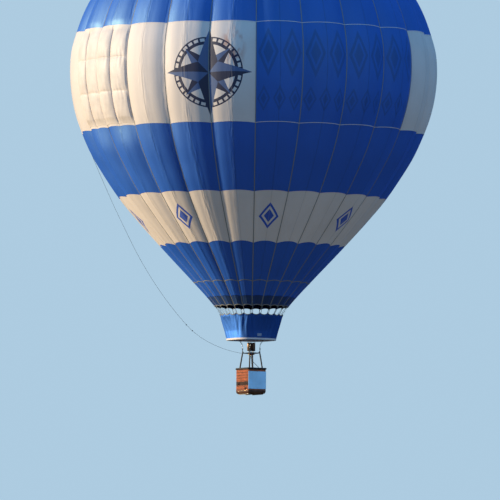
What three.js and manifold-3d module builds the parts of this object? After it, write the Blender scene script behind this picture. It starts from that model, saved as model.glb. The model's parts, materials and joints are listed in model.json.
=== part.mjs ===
// Hot air balloon: a twenty-four gore envelope with a parachute valve, a scoop, a gimballed double burner
// and a wicker basket. Millimetres, +Z up. The origin is the centre of the envelope's widest level.
import * as THREE from "three";
import { mergeVertices } from "three/addons/utils/BufferGeometryUtils.js";
import Module from "manifold-3d";

const wasm = await Module();
wasm.setup();

// Driving dimensions
const GORES = 24;
const COLUMNS = 2 * GORES; // a tape, then a gore's ridge, and so on round
const SHELL = 10; // thickness of every fabric shell
const RIDGE_RATIO = 1.024; // radius at a gore's ridge over radius at its tapes
const SEAM = 0.3; // gap between pieces that touch
const CREAM_GORES = 8; // on each side of the broad band
const BLUE_GORES = 4; // at the front and the back of the broad band

// The envelope from the vent's edge down. lift is how far a seam rises from the tape to the ridge.
const PROFILE = [
  { radius: 2300, z: 6500, lift: 0 },
  { radius: 3300, z: 6290, lift: 0 },
  { radius: 4600, z: 5790, lift: 5 },
  { radius: 5800, z: 5030, lift: 15 },
  { radius: 6750, z: 4130, lift: 25 },
  { radius: 7510, z: 3060, lift: 35 },
  { radius: 8135, z: 1520, lift: 45, seam: "broad band top" },
  { radius: 8335, z: 760, lift: 45 },
  { radius: 8395, z: 0, lift: 40 },
  { radius: 8310, z: -1200, lift: 40 },
  { radius: 8080, z: -2200, lift: 40 },
  { radius: 7800, z: -2960, lift: 40, seam: "broad band bottom" },
  { radius: 7350, z: -3940, lift: 45 },
  { radius: 6840, z: -4780, lift: 50 },
  { radius: 6060, z: -5920, lift: 55, seam: "narrow band top" },
  { radius: 5240, z: -6900, lift: 75 },
  { radius: 4130, z: -8130, lift: 95, seam: "narrow band bottom" },
  { radius: 2580, z: -9780, lift: 60, seam: "horizontal tape" },
  { radius: 2010, z: -10400, lift: 40, seam: "heat panel top" },
  { radius: 1650, z: -10830, lift: 55, seam: "mouth" },
];
const CROWN = { ringRadius: 200, tube: 16, z: 6690, tapeEnd: 217 };
const TAPE = { halfWidth: 22, thickness: 3, clearance: 0.5, hoopHeight: 42, hoopThickness: 4 };
const VALVE = { overlap: 0.22, rows: [[1600, 6550], [700, 6605]], centre: 6620 };
const VALVE_SEAT = 0.4;

const SCOOP = [
  { radius: 1440, z: -11120, dip: 75 },
  { radius: 1350, z: -11400, dip: 35 },
  { radius: 1240, z: -11800, dip: 10 },
  { radius: 1145, z: -12210, dip: 0 },
];
const SCOOP_FOOT = { radius: 1132, z: -12285 };
const STRAP = { radius: 5, tip: 1.5, tipGap: 1.1, share: 0.27 }; // share of the way from a tape to a ridge

const FRAME = { x: 265, y: 330, z: -12900, tube: 38, postTop: -12745, post: 15 };
const LUG = { width: 56, thick: 12, height: 74, hole: 17 };
const LINK = { radius: 27, wire: 6, stretch: 1.5, seat: 2.3 }; // seat: how far its bow stays off the hole's top
const WIRE = { radius: 4, tip: 1, tipGap: 0.9, eye: 18, eyeWire: 4, ferrule: 14, seat: 1.4 };
const UPRIGHT = { radius: 33, footZ: -13735, topGap: 5.2 }; // topGap: it leans, so one edge of its end is higher
const SOCKET = { x: 356, y: 444, radius: 50, top: -13610, bottom: -13738 };

const BASKET = {
  x: 480, y: 570, wall: 40, corner: 75,
  wallTop: -13660, wallBottom: -14600, bottom: -14760, floor: 18, runner: 30,
};
const RIM = { halfWidth: 50, halfHeight: 42 };
const FOOTHOLD = { width: 150, height: 90 };
const TANK = { x: 265, y: 355, radius: 150, height: 820 };
const BANNER = { halfWidth: 395, top: -13745, bottom: -14545, thick: 5 };

const GIMBAL = { x: 205, y: 235, bar: 26, pin: 10.2, hole: 11 };
const BURNER = { spacing: 105, can: 95, wall: 5, bottom: -12800, top: -12430, bar: 46 };
const BOOT = { x: 156, y: 104, z: 52, wall: 12 }; // the skirt that hides the hoses' ends, wide enough to swing
const HOSE = { radius: 11 };
const LINE = { radius: 6, turn: -127.5, standOff: 5.6, exitRow: 11.9 };

// Materials
const finish = (color, roughness, metalness = 0) =>
  new THREE.MeshStandardMaterial({ color, roughness, metalness });
const BLUE = finish(0x1c4fa8, 0.6);
const CREAM = finish(0xe6d8c4, 0.65);
const NAVY = finish(0x141d3a, 0.8);
const WEBBING = finish(0x8d8a78, 0.8);
const STEEL = finish(0xa9adb0, 0.35, 1);
const CABLE = finish(0x6d6f70, 0.4, 1);
const FRAME_PAINT = finish(0x25272b, 0.5, 0.3);
const LEATHER = finish(0x241a16, 0.7);
const WICKER = finish(0xb9763c, 0.8);
const TIMBER = finish(0x8a6a45, 0.8);
const ALUMINIUM = finish(0xb8bcbf, 0.4, 1);
const RUBBER = finish(0x17181a, 0.7);
const SKY_CLOTH = finish(0x5b93cf, 0.7);
const ROPE = finish(0x55585c, 0.8);

const balloon = new THREE.Group();

// Solids
function solidOf(geometry) {
  const bare = geometry.clone();
  bare.deleteAttribute("normal");
  bare.deleteAttribute("uv");
  const merged = mergeVertices(bare, 1e-3);
  return new wasm.Manifold(
    new wasm.Mesh({
      numProp: 3,
      vertProperties: new Float32Array(merged.attributes.position.array),
      triVerts: new Uint32Array(merged.index.array),
    }),
  );
}

function geometryOf(solid) {
  const mesh = solid.getMesh();
  const geometry = new THREE.BufferGeometry();
  geometry.setAttribute("position", new THREE.BufferAttribute(mesh.vertProperties, 3));
  geometry.setIndex(new THREE.BufferAttribute(mesh.triVerts, 1));
  return geometry;
}

const join = (geometries) => geometries.map(solidOf).reduce((whole, piece) => whole.add(piece));
const cut = (solid, geometries) => geometries.reduce((rest, tool) => rest.subtract(solidOf(tool)), solid);

function add(name, shape, material) {
  const geometry = shape.isBufferGeometry ? shape : geometryOf(shape);
  const mesh = new THREE.Mesh(geometry, material);
  mesh.name = name;
  balloon.add(mesh);
  return mesh;
}

// A closed geometry from points and triangles, turned so that its faces point out
function closedGeometry(points, triangles) {
  const volume = triangles.reduce((sum, [a, b, c]) => {
    const normal = new THREE.Vector3().crossVectors(points[b], points[c]);
    return sum + points[a].dot(normal);
  }, 0);
  const index = triangles.flatMap(([a, b, c]) => (volume < 0 ? [a, c, b] : [a, b, c]));
  const geometry = new THREE.BufferGeometry();
  geometry.setAttribute("position", new THREE.Float32BufferAttribute(points.flatMap((p) => p.toArray()), 3));
  geometry.setIndex(index);
  return geometry;
}

// A sheet with thickness: rows of points outside and inside, joined round its edges
function shellOf(outer, inner, wraps) {
  const rows = outer.length;
  const columns = outer[0].length;
  const points = [...outer.flat(), ...inner.flat()];
  const at = (side, row, column) => side * rows * columns + row * columns + (column % columns);
  const triangles = [];
  const quad = (a, b, c, d) => triangles.push([a, b, c], [a, c, d]);
  const spans = wraps ? columns : columns - 1;
  for (let column = 0; column < spans; column++) {
    const next = column + 1;
    for (let row = 0; row < rows - 1; row++) {
      quad(at(0, row, column), at(0, row + 1, column), at(0, row + 1, next), at(0, row, next));
      quad(at(1, row, column), at(1, row, next), at(1, row + 1, next), at(1, row + 1, column));
    }
    quad(at(1, 0, column), at(0, 0, column), at(0, 0, next), at(1, 0, next));
    quad(at(0, rows - 1, column), at(1, rows - 1, column), at(1, rows - 1, next), at(0, rows - 1, next));
  }
  if (!wraps) {
    const last = columns - 1;
    for (let row = 0; row < rows - 1; row++) {
      quad(at(0, row, 0), at(1, row, 0), at(1, row + 1, 0), at(0, row + 1, 0));
      quad(at(0, row + 1, last), at(1, row + 1, last), at(1, row, last), at(0, row, last));
    }
  }
  return closedGeometry(points, triangles);
}

// A round sheet: rows from its rim to the centre on the top and the bottom, and one centre point each
function discOf(top, bottom, topCentre, bottomCentre) {
  const rows = top.length;
  const columns = top[0].length;
  const points = [...top.flat(), ...bottom.flat(), topCentre, bottomCentre];
  const at = (side, row, column) => side * rows * columns + row * columns + (column % columns);
  const centre = 2 * rows * columns;
  const triangles = [];
  for (let column = 0; column < columns; column++) {
    const next = column + 1;
    for (let row = 0; row < rows - 1; row++) {
      triangles.push([at(0, row, column), at(0, row, next), at(0, row + 1, next)]);
      triangles.push([at(0, row, column), at(0, row + 1, next), at(0, row + 1, column)]);
      triangles.push([at(1, row, column), at(1, row + 1, next), at(1, row, next)]);
      triangles.push([at(1, row, column), at(1, row + 1, column), at(1, row + 1, next)]);
    }
    triangles.push([at(0, rows - 1, column), at(0, rows - 1, next), centre]);
    triangles.push([at(1, rows - 1, next), at(1, rows - 1, column), centre + 1]);
    triangles.push([at(0, 0, next), at(0, 0, column), at(1, 0, column)]);
    triangles.push([at(0, 0, next), at(1, 0, column), at(1, 0, next)]);
  }
  return closedGeometry(points, triangles);
}

// A bar through a list of like sections, closed at its ends
function barOf(sections) {
  const sides = sections[0].length;
  const points = sections.flat();
  const at = (section, side) => section * sides + (side % sides);
  const triangles = [];
  for (let section = 0; section < sections.length - 1; section++) {
    for (let side = 0; side < sides; side++) {
      const [a, b] = [at(section, side), at(section, side + 1)];
      const [c, d] = [at(section + 1, side + 1), at(section + 1, side)];
      triangles.push([a, b, c], [a, c, d]);
    }
  }
  const end = sections.length - 1;
  for (let side = 1; side < sides - 1; side++) {
    triangles.push([at(0, 0), at(0, side + 1), at(0, side)]);
    triangles.push([at(end, 0), at(end, side), at(end, side + 1)]);
  }
  return closedGeometry(points, triangles);
}

// A ring through a list of like loops, the last of which joins the first
function ringOf(loops) {
  const around = loops[0].length;
  const points = loops.flat();
  const at = (loop, place) => (loop % loops.length) * around + (place % around);
  const triangles = [];
  for (let loop = 0; loop < loops.length; loop++) {
    for (let place = 0; place < around; place++) {
      const [a, b] = [at(loop, place), at(loop, place + 1)];
      const [c, d] = [at(loop + 1, place + 1), at(loop + 1, place)];
      triangles.push([a, b, c], [a, c, d]);
    }
  }
  return closedGeometry(points, triangles);
}

function rod(from, to, radius, sides = 8, endRadius = radius) {
  const span = new THREE.Vector3().subVectors(to, from);
  const turn = new THREE.Quaternion().setFromUnitVectors(new THREE.Vector3(0, 1, 0), span.clone().normalize());
  return new THREE.CylinderGeometry(endRadius, radius, span.length(), sides)
    .applyQuaternion(turn)
    .translate(...from.clone().addScaledVector(span, 0.5).toArray());
}

// The point that lies a gap before the end of a straight piece
const shortOf = (end, start, gap) => end.clone().addScaledVector(end.clone().sub(start).normalize(), -gap);
const point = (x, y, z) => new THREE.Vector3(x, y, z);
const box = (x, y, z, cx, cy, cz) => new THREE.BoxGeometry(x, y, z).translate(cx, cy, cz);

// Turn 0 faces -Y, and turns grow towards +X
function polar(radius, degrees, z) {
  const turn = THREE.MathUtils.degToRad(degrees);
  return point(radius * Math.sin(turn), -radius * Math.cos(turn), z);
}

// Envelope
const GORE_TURN = 360 / GORES;
const COLUMN_TURN = 360 / COLUMNS;
const FIRST_TURN = -30; // the seam between the broad band's first two colours

function ridgeRadiusAt(z) {
  const below = PROFILE.findIndex((row) => row.z <= z);
  if (below <= 0) return below === 0 ? PROFILE[0].radius : PROFILE.at(-1).radius;
  const [high, low] = [PROFILE[below - 1], PROFILE[below]];
  return THREE.MathUtils.mapLinear(z, low.z, high.z, low.radius, high.radius);
}

// Radius and height of the tapes' line and of the ridges' line at each row, with the way out of the fabric
function meridian(isRidge) {
  const line = PROFILE.map((row, index) => {
    const isMouth = index === PROFILE.length - 1;
    if (!isRidge) return new THREE.Vector2(row.radius / RIDGE_RATIO, row.z);
    const slope = isMouth ? (row.radius - PROFILE[index - 1].radius) / (row.z - PROFILE[index - 1].z) : 0;
    const radius = isMouth ? row.radius + slope * row.lift : ridgeRadiusAt(row.z + row.lift);
    return new THREE.Vector2(radius, row.z + row.lift);
  });
  const normals = line.map((_, index) => {
    const before = line[Math.max(index - 1, 0)];
    const after = line[Math.min(index + 1, line.length - 1)];
    const along = new THREE.Vector2().subVectors(before, after).normalize();
    return new THREE.Vector2(along.y, -along.x);
  });
  return { line, normals };
}
const MERIDIANS = [meridian(false), meridian(true)];

// A point of the envelope. row may be a fraction, and depth is below the outer surface.
function envelopePoint(row, column, depth) {
  const { line, normals } = MERIDIANS[column % 2];
  const first = Math.min(Math.floor(row), line.length - 2);
  const share = row - first;
  const place = line[first].clone().lerp(line[first + 1], share);
  const normal = normals[first].clone().lerp(normals[first + 1], share).normalize();
  place.addScaledVector(normal, -depth);
  return polar(place.x, FIRST_TURN + column * COLUMN_TURN, place.y);
}

const rowOf = (seam) => PROFILE.findIndex((row) => row.seam === seam);
const rowLength = (row) => MERIDIANS[0].line[row].distanceTo(MERIDIANS[0].line[row + 1]);

// The panel between two rows, and between two columns where it isn't a whole ring
function fabricPanel(topRow, bottomRow, firstColumn = 0, lastColumn = COLUMNS) {
  const whole = lastColumn - firstColumn === COLUMNS;
  const rows = [topRow + SEAM / 2 / rowLength(topRow)];
  for (let row = topRow + 1; row < bottomRow; row++) rows.push(row);
  rows.push(bottomRow - SEAM / 2 / rowLength(bottomRow - 1));
  const columns = [];
  for (let column = firstColumn; column < lastColumn + (whole ? 0 : 1); column++) columns.push(column);
  const side = (depth) =>
    rows.map((row) =>
      columns.map((column, place) => {
        const at = envelopePoint(row, column, depth);
        if (whole || (place > 0 && place < columns.length - 1)) return at;
        const inward = envelopePoint(row, column + (place ? -1 : 1), depth);
        return at.addScaledVector(inward.sub(at).normalize(), SEAM / 2);
      }),
    );
  return shellOf(side(0), side(SHELL), whole);
}

const BROAD_TOP = rowOf("broad band top");
const BROAD_BOTTOM = rowOf("broad band bottom");
const NARROW_TOP = rowOf("narrow band top");
const NARROW_BOTTOM = rowOf("narrow band bottom");
const TAPE_ROW = rowOf("horizontal tape");
const HEAT_TOP = rowOf("heat panel top");
const MOUTH = rowOf("mouth");

function buildEnvelope() {
  add("envelope_top_blue", fabricPanel(0, BROAD_TOP), BLUE);
  const blueColumns = 2 * BLUE_GORES;
  const creamColumns = 2 * CREAM_GORES;
  const panels = [
    { name: "broad_band_blue_front", columns: blueColumns, material: BLUE },
    { name: "broad_band_cream_right", columns: creamColumns, material: CREAM },
    { name: "broad_band_blue_back", columns: blueColumns, material: BLUE },
    { name: "broad_band_cream_left", columns: creamColumns, material: CREAM },
  ];
  let column = 0;
  for (const panel of panels) {
    add(panel.name, fabricPanel(BROAD_TOP, BROAD_BOTTOM, column, column + panel.columns), panel.material);
    column += panel.columns;
  }
  add("envelope_middle_blue", fabricPanel(BROAD_BOTTOM, NARROW_TOP), BLUE);
  add("narrow_band_cream", fabricPanel(NARROW_TOP, NARROW_BOTTOM), CREAM);
  add("envelope_lower_blue", fabricPanel(NARROW_BOTTOM, HEAT_TOP), BLUE);
  add("heat_panel", fabricPanel(HEAT_TOP, MOUTH), NAVY);
}

// One load tape: it lies in the valley between two gores, and spans the vent to the crown ring
function tapeSections(column) {
  const across = polar(1, FIRST_TURN + column * COLUMN_TURN + 90, 0);
  const crownAt = (radius, z) => {
    const centre = polar(radius, FIRST_TURN + column * COLUMN_TURN, z);
    return [-1, 1].map((way) =>
      centre.clone().addScaledVector(across, way * TAPE.halfWidth).add(point(0, 0, TAPE.thickness)),
    ).concat([centre]);
  };
  const sections = [crownAt(CROWN.tapeEnd, CROWN.z)];
  for (let row = 0; row <= MOUTH; row++) {
    const valley = envelopePoint(row, column, 0);
    const lifted = envelopePoint(row, column, -1).sub(valley);
    const edges = [column - 1, column + 1].map((ridge) => {
      const slope = envelopePoint(row, (ridge + COLUMNS) % COLUMNS, 0).sub(valley);
      return valley.clone()
        .addScaledVector(slope, TAPE.halfWidth / slope.length())
        .addScaledVector(lifted, TAPE.clearance + TAPE.thickness);
    });
    sections.push([...edges, valley.clone().addScaledVector(lifted, TAPE.clearance)]);
  }
  return sections;
}

// A hoop of tape on the outside of the fabric, from one row up by its height
function tapeHoop(row) {
  const rise = TAPE.hoopHeight / rowLength(row - 1);
  const side = (depth) =>
    [row - rise, row].map((at) =>
      Array.from({ length: COLUMNS }, (_, column) => envelopePoint(at, column, depth)),
    );
  return shellOf(side(-TAPE.clearance - TAPE.hoopThickness), side(-TAPE.clearance), true);
}

function buildTapes() {
  const tapes = [];
  for (let column = 0; column < COLUMNS; column += 2) tapes.push(barOf(tapeSections(column)));
  add("load_tapes", join([...tapes, tapeHoop(MOUTH)]), WEBBING);
  const ring = new THREE.TorusGeometry(CROWN.ringRadius, CROWN.tube, 8, GORES);
  add("crown_ring", ring.translate(0, 0, CROWN.z), ALUMINIUM);
}

// The parachute valve lies against the inside of the fabric round the vent
function buildValve() {
  const side = (depth) => {
    const ring = (row) =>
      Array.from({ length: COLUMNS }, (_, column) => envelopePoint(row, column, depth));
    const rim = [ring(VALVE.overlap), ring(0)];
    const dome = VALVE.rows.map(([radius, z]) =>
      rim[0].map((_, column) => polar(radius, FIRST_TURN + column * COLUMN_TURN, z - depth)),
    );
    return [...rim, ...dome];
  };
  const above = SHELL + VALVE_SEAT;
  const valve = discOf(
    side(above),
    side(above + SHELL),
    point(0, 0, VALVE.centre - above),
    point(0, 0, VALVE.centre - above - SHELL),
  );
  add("parachute_valve", valve, BLUE);
}

// Scoop
function scoopPoint(row, column, depth) {
  const dip = column % 2 ? row.dip || 0 : 0;
  return polar(row.radius - depth, FIRST_TURN + column * COLUMN_TURN, row.z - dip);
}

function scoopRing(rows, outerDepth, innerDepth) {
  const side = (depth) =>
    rows.map((row) => Array.from({ length: COLUMNS }, (_, column) => scoopPoint(row, column, depth)));
  return shellOf(side(outerDepth), side(innerDepth), true);
}

function buildScoop() {
  add("scoop", scoopRing(SCOOP, 0, SHELL), BLUE);
  const foot = SCOOP.at(-1);
  const hemTop = { ...foot, z: foot.z - SEAM };
  add("scoop_hem", scoopRing([hemTop, SCOOP_FOOT], -2, SHELL + 2), CREAM);
  const head = SCOOP[0];
  const band = [head, { ...head, radius: head.radius - 12, z: head.z - 38 }];
  const straps = [];
  for (let tape = 0; tape < GORES; tape++) {
    const turn = FIRST_TURN + tape * GORE_TURN + STRAP.share * COLUMN_TURN;
    const start = polar(head.radius - 1, turn, head.z - 34);
    const edge = envelopePoint(MOUTH, 2 * tape, SHELL / 2);
    edge.lerp(envelopePoint(MOUTH, 2 * tape + 1, SHELL / 2), STRAP.share);
    straps.push(rod(start, shortOf(edge, start, STRAP.tipGap), STRAP.radius, 4, STRAP.tip));
  }
  add("scoop_straps", join([scoopRing(band, -SEAM - 6, -SEAM), ...straps]), WEBBING);
}

// Burner frame, wires and uprights
const CORNERS = [
  { name: "front_left", x: -1, y: -1, firstTape: -90 },
  { name: "front_right", x: 1, y: -1, firstTape: 0 },
  { name: "back_right", x: 1, y: 1, firstTape: 90 },
  { name: "back_left", x: -1, y: 1, firstTape: 180 },
];
const LUG_BASE = FRAME.postTop;
const HOLE_Z = LUG_BASE + LUG.height - 28;
const LINK_Z = HOLE_Z + LUG.hole - LINK.seat + (LINK.radius - LINK.wire) * LINK.stretch;
const LINK_TOP = LINK_Z + LINK.radius * LINK.stretch;

function frameCorner(corner) {
  const x = corner.x * FRAME.x;
  const y = corner.y * FRAME.y;
  const lug = cut(
    solidOf(box(LUG.width, LUG.thick, LUG.height, x, y, LUG_BASE + LUG.height / 2)),
    [new THREE.CylinderGeometry(LUG.hole, LUG.hole, 4 * LUG.thick, 12).translate(x, y, HOLE_Z)],
  );
  return [rod(point(x, y, FRAME.z), point(x, y, FRAME.postTop + 10), FRAME.post, 8), geometryOf(lug)];
}

function buildFrame() {
  const { x, y, z, tube } = FRAME;
  const bars = [
    ...[-1, 1].map((side) => box(2 * x + tube, tube, tube, 0, side * y, z)),
    ...[-1, 1].map((side) => box(tube, 2 * y + tube, tube, side * x, 0, z)),
    ...CORNERS.flatMap(frameCorner),
  ];
  const pinHoles = [-1, 1].map((side) =>
    new THREE.CylinderGeometry(GIMBAL.hole, GIMBAL.hole, 3 * tube, 16).translate(0, side * y, z),
  );
  add("burner_frame", cut(join(bars), pinHoles), FRAME_PAINT);
}

function buildRigging() {
  for (const corner of CORNERS) {
    const x = corner.x * FRAME.x;
    const y = corner.y * FRAME.y;
    const link = new THREE.TorusGeometry(LINK.radius, LINK.wire, 6, 12)
      .rotateY(Math.PI / 2)
      .scale(1, 1, LINK.stretch)
      .translate(x, y, LINK_Z);
    add("karabiner_" + corner.name, link, STEEL);
    const eyeZ = LINK_TOP - LINK.wire * LINK.stretch + WIRE.eye - WIRE.eyeWire - WIRE.seat;
    const eye = new THREE.TorusGeometry(WIRE.eye, WIRE.eyeWire, 5, 10)
      .rotateX(Math.PI / 2)
      .translate(x, y, eyeZ);
    const start = point(x, y, eyeZ + WIRE.eye);
    const wires = Array.from({ length: GORES / 4 }, (_, tape) => {
      const column = (2 * ((corner.firstTape - FIRST_TURN) / GORE_TURN + tape) + COLUMNS) % COLUMNS;
      const edge = envelopePoint(MOUTH, column, SHELL / 2);
      return rod(start, shortOf(edge, start, WIRE.tipGap), WIRE.radius, 4, WIRE.tip);
    });
    const ferrule = rod(start, point(x, y, eyeZ + WIRE.eye + 40), WIRE.ferrule, 8);
    add("suspension_wires_" + corner.name, join([eye, ferrule, ...wires]), CABLE);
  }
}

function buildUprights() {
  for (const corner of CORNERS) {
    const side = (x, y, z) => point(corner.x * x, corner.y * y, z);
    const top = side(FRAME.x, FRAME.y, FRAME.z - FRAME.tube / 2 - UPRIGHT.topGap);
    const foot = side(SOCKET.x, SOCKET.y, UPRIGHT.footZ);
    add("upright_" + corner.name, rod(foot, top, UPRIGHT.radius, 10), LEATHER);
    const body = new THREE.CylinderGeometry(SOCKET.radius, SOCKET.radius, SOCKET.top - SOCKET.bottom, 12)
      .rotateX(Math.PI / 2)
      .translate(corner.x * SOCKET.x, corner.y * SOCKET.y, (SOCKET.top + SOCKET.bottom) / 2);
    const inner = { x: BASKET.x - BASKET.wall, y: BASKET.y - BASKET.wall };
    const middle = (SOCKET.top + SOCKET.bottom) / 2 - 30;
    const ears = [
      box(40, 44, 60, corner.x * (inner.x - SEAM - 20), corner.y * (SOCKET.y - 20), middle),
      box(44, 40, 60, corner.x * (SOCKET.x - 20), corner.y * (inner.y - SEAM - 20), middle),
    ];
    const bore = rod(foot.clone().addScaledVector(top.clone().sub(foot), -0.3), top, UPRIGHT.radius + SEAM, 10);
    const well = cut(join([body, ...ears]), [bore]);
    add("upright_socket_" + corner.name, well, STEEL);
  }
}

// Basket
function roundedLoop(halfX, halfY, corner, z, steps = 3) {
  const loop = [];
  const radius = Math.max(corner, 4);
  [[1, 1, 0], [-1, 1, 90], [-1, -1, 180], [1, -1, 270]].forEach(([sx, sy, start]) => {
    for (let step = 0; step <= steps; step++) {
      const turn = THREE.MathUtils.degToRad(start + (90 * step) / steps);
      loop.push(point(
        sx * (halfX - radius) + radius * Math.cos(turn),
        sy * (halfY - radius) + radius * Math.sin(turn),
        z,
      ));
    }
  });
  return loop;
}

const basketLoop = (inset, z) =>
  roundedLoop(BASKET.x - inset, BASKET.y - inset, BASKET.corner - inset, z);

function buildBasket() {
  const { wall, wallTop, wallBottom, bottom } = BASKET;
  const sides = ringOf([
    basketLoop(0, wallBottom), basketLoop(0, wallTop), basketLoop(wall, wallTop), basketLoop(wall, wallBottom),
  ]);
  const footholds = [[-1, 290, -14310], [-1, -310, -14520], [1, -290, -14310], [1, 310, -14520]];
  const holes = footholds.map(([side, y, z]) =>
    box(4 * wall, FOOTHOLD.width, FOOTHOLD.height, side * (BASKET.x - wall / 2), y, z),
  );
  add("basket_wall", cut(solidOf(sides), holes), WICKER);

  const rimZ = wallTop + RIM.halfHeight + SEAM;
  const rimLoops = Array.from({ length: 8 }, (_, step) => {
    const turn = (step + 0.5) * Math.PI / 4;
    const half = 1 / Math.cos(Math.PI / 8);
    const inset = wall / 2 - RIM.halfWidth * half * Math.cos(turn);
    return basketLoop(inset, rimZ + RIM.halfHeight * half * Math.sin(turn));
  });
  add("basket_rim", ringOf(rimLoops), LEATHER);

  const top = wallBottom - SEAM;
  const ledge = bottom + 45;
  add("basket_scuff", ringOf([
    basketLoop(0, top), basketLoop(wall, top), basketLoop(wall, ledge), basketLoop(110, ledge),
    basketLoop(135, bottom), basketLoop(95, bottom), basketLoop(50, bottom + 20), basketLoop(15, bottom + 70),
  ]), LEATHER);
  const floorTop = ledge + SEAM + BASKET.floor;
  const floor = new THREE.ExtrudeGeometry(
    new THREE.Shape(basketLoop(wall + 4, 0).map((p) => new THREE.Vector2(p.x, p.y))),
    { depth: BASKET.floor, bevelEnabled: false },
  ).translate(0, 0, ledge + SEAM);
  add("basket_floor", floor, TIMBER);
  [-360, 0, 360].forEach((x, index) => {
    const runner = box(50, 900, BASKET.runner - SEAM, x, 0, bottom - SEAM - (BASKET.runner - SEAM) / 2);
    add("runner_" + (index + 1), runner, TIMBER);
  });
  const bannerHeight = BANNER.top - BANNER.bottom;
  add("banner", box(
    2 * BANNER.halfWidth, BANNER.thick, bannerHeight,
    0, -BASKET.y - SEAM - BANNER.thick / 2, BANNER.bottom + bannerHeight / 2,
  ), SKY_CLOTH);
  return floorTop;
}

function buildTanks(floorTop) {
  const { x, y, radius, height } = TANK;
  const profile = [
    [0, 0], [radius - 20, 0], [radius, 30], [radius, height - 90], [radius - 45, height - 25],
    [70, height - 8], [70, height + 60], [62, height + 60], [62, height - 4], [22, height],
    [22, height + 40], [0, height + 40],
  ].map(([r, z]) => new THREE.Vector2(r, z));
  ["back", "front"].forEach((name, index) => {
    const tank = new THREE.LatheGeometry(profile, 16)
      .rotateX(Math.PI / 2)
      .translate(x, index ? -y : y, floorTop + SEAM);
    add("fuel_tank_" + name, tank, ALUMINIUM);
  });
}

// Gimbal and burner
function buildBurner() {
  const { z } = FRAME;
  const { bar, pin, hole } = GIMBAL;
  const along = (length, radius) => new THREE.CylinderGeometry(radius, radius, length, 16);
  const ringBars = [
    ...[-1, 1].map((side) => box(2 * GIMBAL.x + bar, bar, bar, 0, side * GIMBAL.y, z)),
    ...[-1, 1].map((side) => box(bar, 2 * GIMBAL.y + bar, bar, side * GIMBAL.x, 0, z)),
    ...[-1, 1].map((side) => along(FRAME.y - GIMBAL.y + 8, pin).translate(0, side * (FRAME.y + GIMBAL.y + 8) / 2, z)),
  ];
  const ringHoles = [-1, 1].map((side) =>
    along(3 * bar, hole).rotateZ(Math.PI / 2).translate(side * GIMBAL.x, 0, z),
  );
  add("gimbal_ring", cut(join(ringBars), ringHoles), FRAME_PAINT);

  const reach = GIMBAL.x - bar / 2 - 5;
  const legs = [-1, 1].flatMap((side) => [-1, 1].flatMap((front) => {
    const x = side * BURNER.spacing;
    return [rod(
      point(x, front * 20, z + 10),
      point(x, front * (BURNER.can - BURNER.wall / 2), BURNER.bottom + 16), 7, 6,
    )];
  }));
  const levers = [-1, 1].map((side) =>
    box(16, 150, 10, side * BURNER.spacing, -75, z - BURNER.bar / 2 - 42),
  );
  const block = join([
    box(2 * reach, BURNER.bar, BURNER.bar, 0, 0, z),
    ...[-1, 1].map((side) => along(GIMBAL.x - reach + 14, pin).rotateZ(Math.PI / 2)
      .translate(side * (GIMBAL.x + reach + 6) / 2, 0, z)),
    ...[-1, 1].map((side) => box(80, 70, 60, side * BURNER.spacing, 0, z - BURNER.bar / 2 - 25)),
    ...levers,
    ...legs,
  ]);
  const bootTop = z - BURNER.bar / 2;
  const boot = box(BOOT.x, BOOT.y, BOOT.z, 0, 0, bootTop + 1 - BOOT.z / 2);
  const well = box(BOOT.x - BOOT.wall, BOOT.y - BOOT.wall, BOOT.z, 0, 0, bootTop - 10 - BOOT.z / 2);
  add("burner_block", cut(block.add(solidOf(boot)), [well]), STEEL);

  ["left", "right"].forEach((name, index) => {
    const x = (index ? 1 : -1) * BURNER.spacing;
    const turn = (radius, height) => new THREE.Vector2(radius, height);
    const can = new THREE.LatheGeometry([
      turn(BURNER.can - BURNER.wall, BURNER.bottom), turn(BURNER.can, BURNER.bottom),
      turn(BURNER.can, BURNER.top), turn(BURNER.can - BURNER.wall, BURNER.top),
      turn(BURNER.can - BURNER.wall, BURNER.bottom),
    ], 16).rotateX(Math.PI / 2).translate(x, 0, 0);
    const legPockets = [-1, 1].map((front) => rod(
      point(x, front * 20, z + 10),
      point(x, front * (BURNER.can - BURNER.wall / 2), BURNER.bottom + 16), 7 + SEAM, 6,
    ));
    add("burner_can_" + name, cut(solidOf(can), legPockets), STEEL);
    const turns = 4;
    const pitch = 66;
    const wave = [];
    for (let half = 0; half <= 2 * turns; half++) {
      const height = BURNER.bottom + 60 + (half * pitch) / 2;
      wave.push(turn(BURNER.can - BURNER.wall - SEAM - (half % 2 ? 10 : 0), height));
    }
    const inner = wave.map((p) => turn(p.x - 12, p.y)).reverse();
    const coil = new THREE.LatheGeometry([...wave, ...inner, wave[0].clone()], 16)
      .rotateX(Math.PI / 2).translate(x, 0, 0);
    add("burner_coil_" + name, coil, STEEL);
  });
}

// A round tube with eight sides along a curve
function tube(route, radius, steps) {
  const section = new THREE.Shape().absarc(0, 0, radius, 0, 2 * Math.PI);
  return new THREE.ExtrudeGeometry(section, { steps, bevelEnabled: false, curveSegments: 4, extrudePath: route });
}

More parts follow.
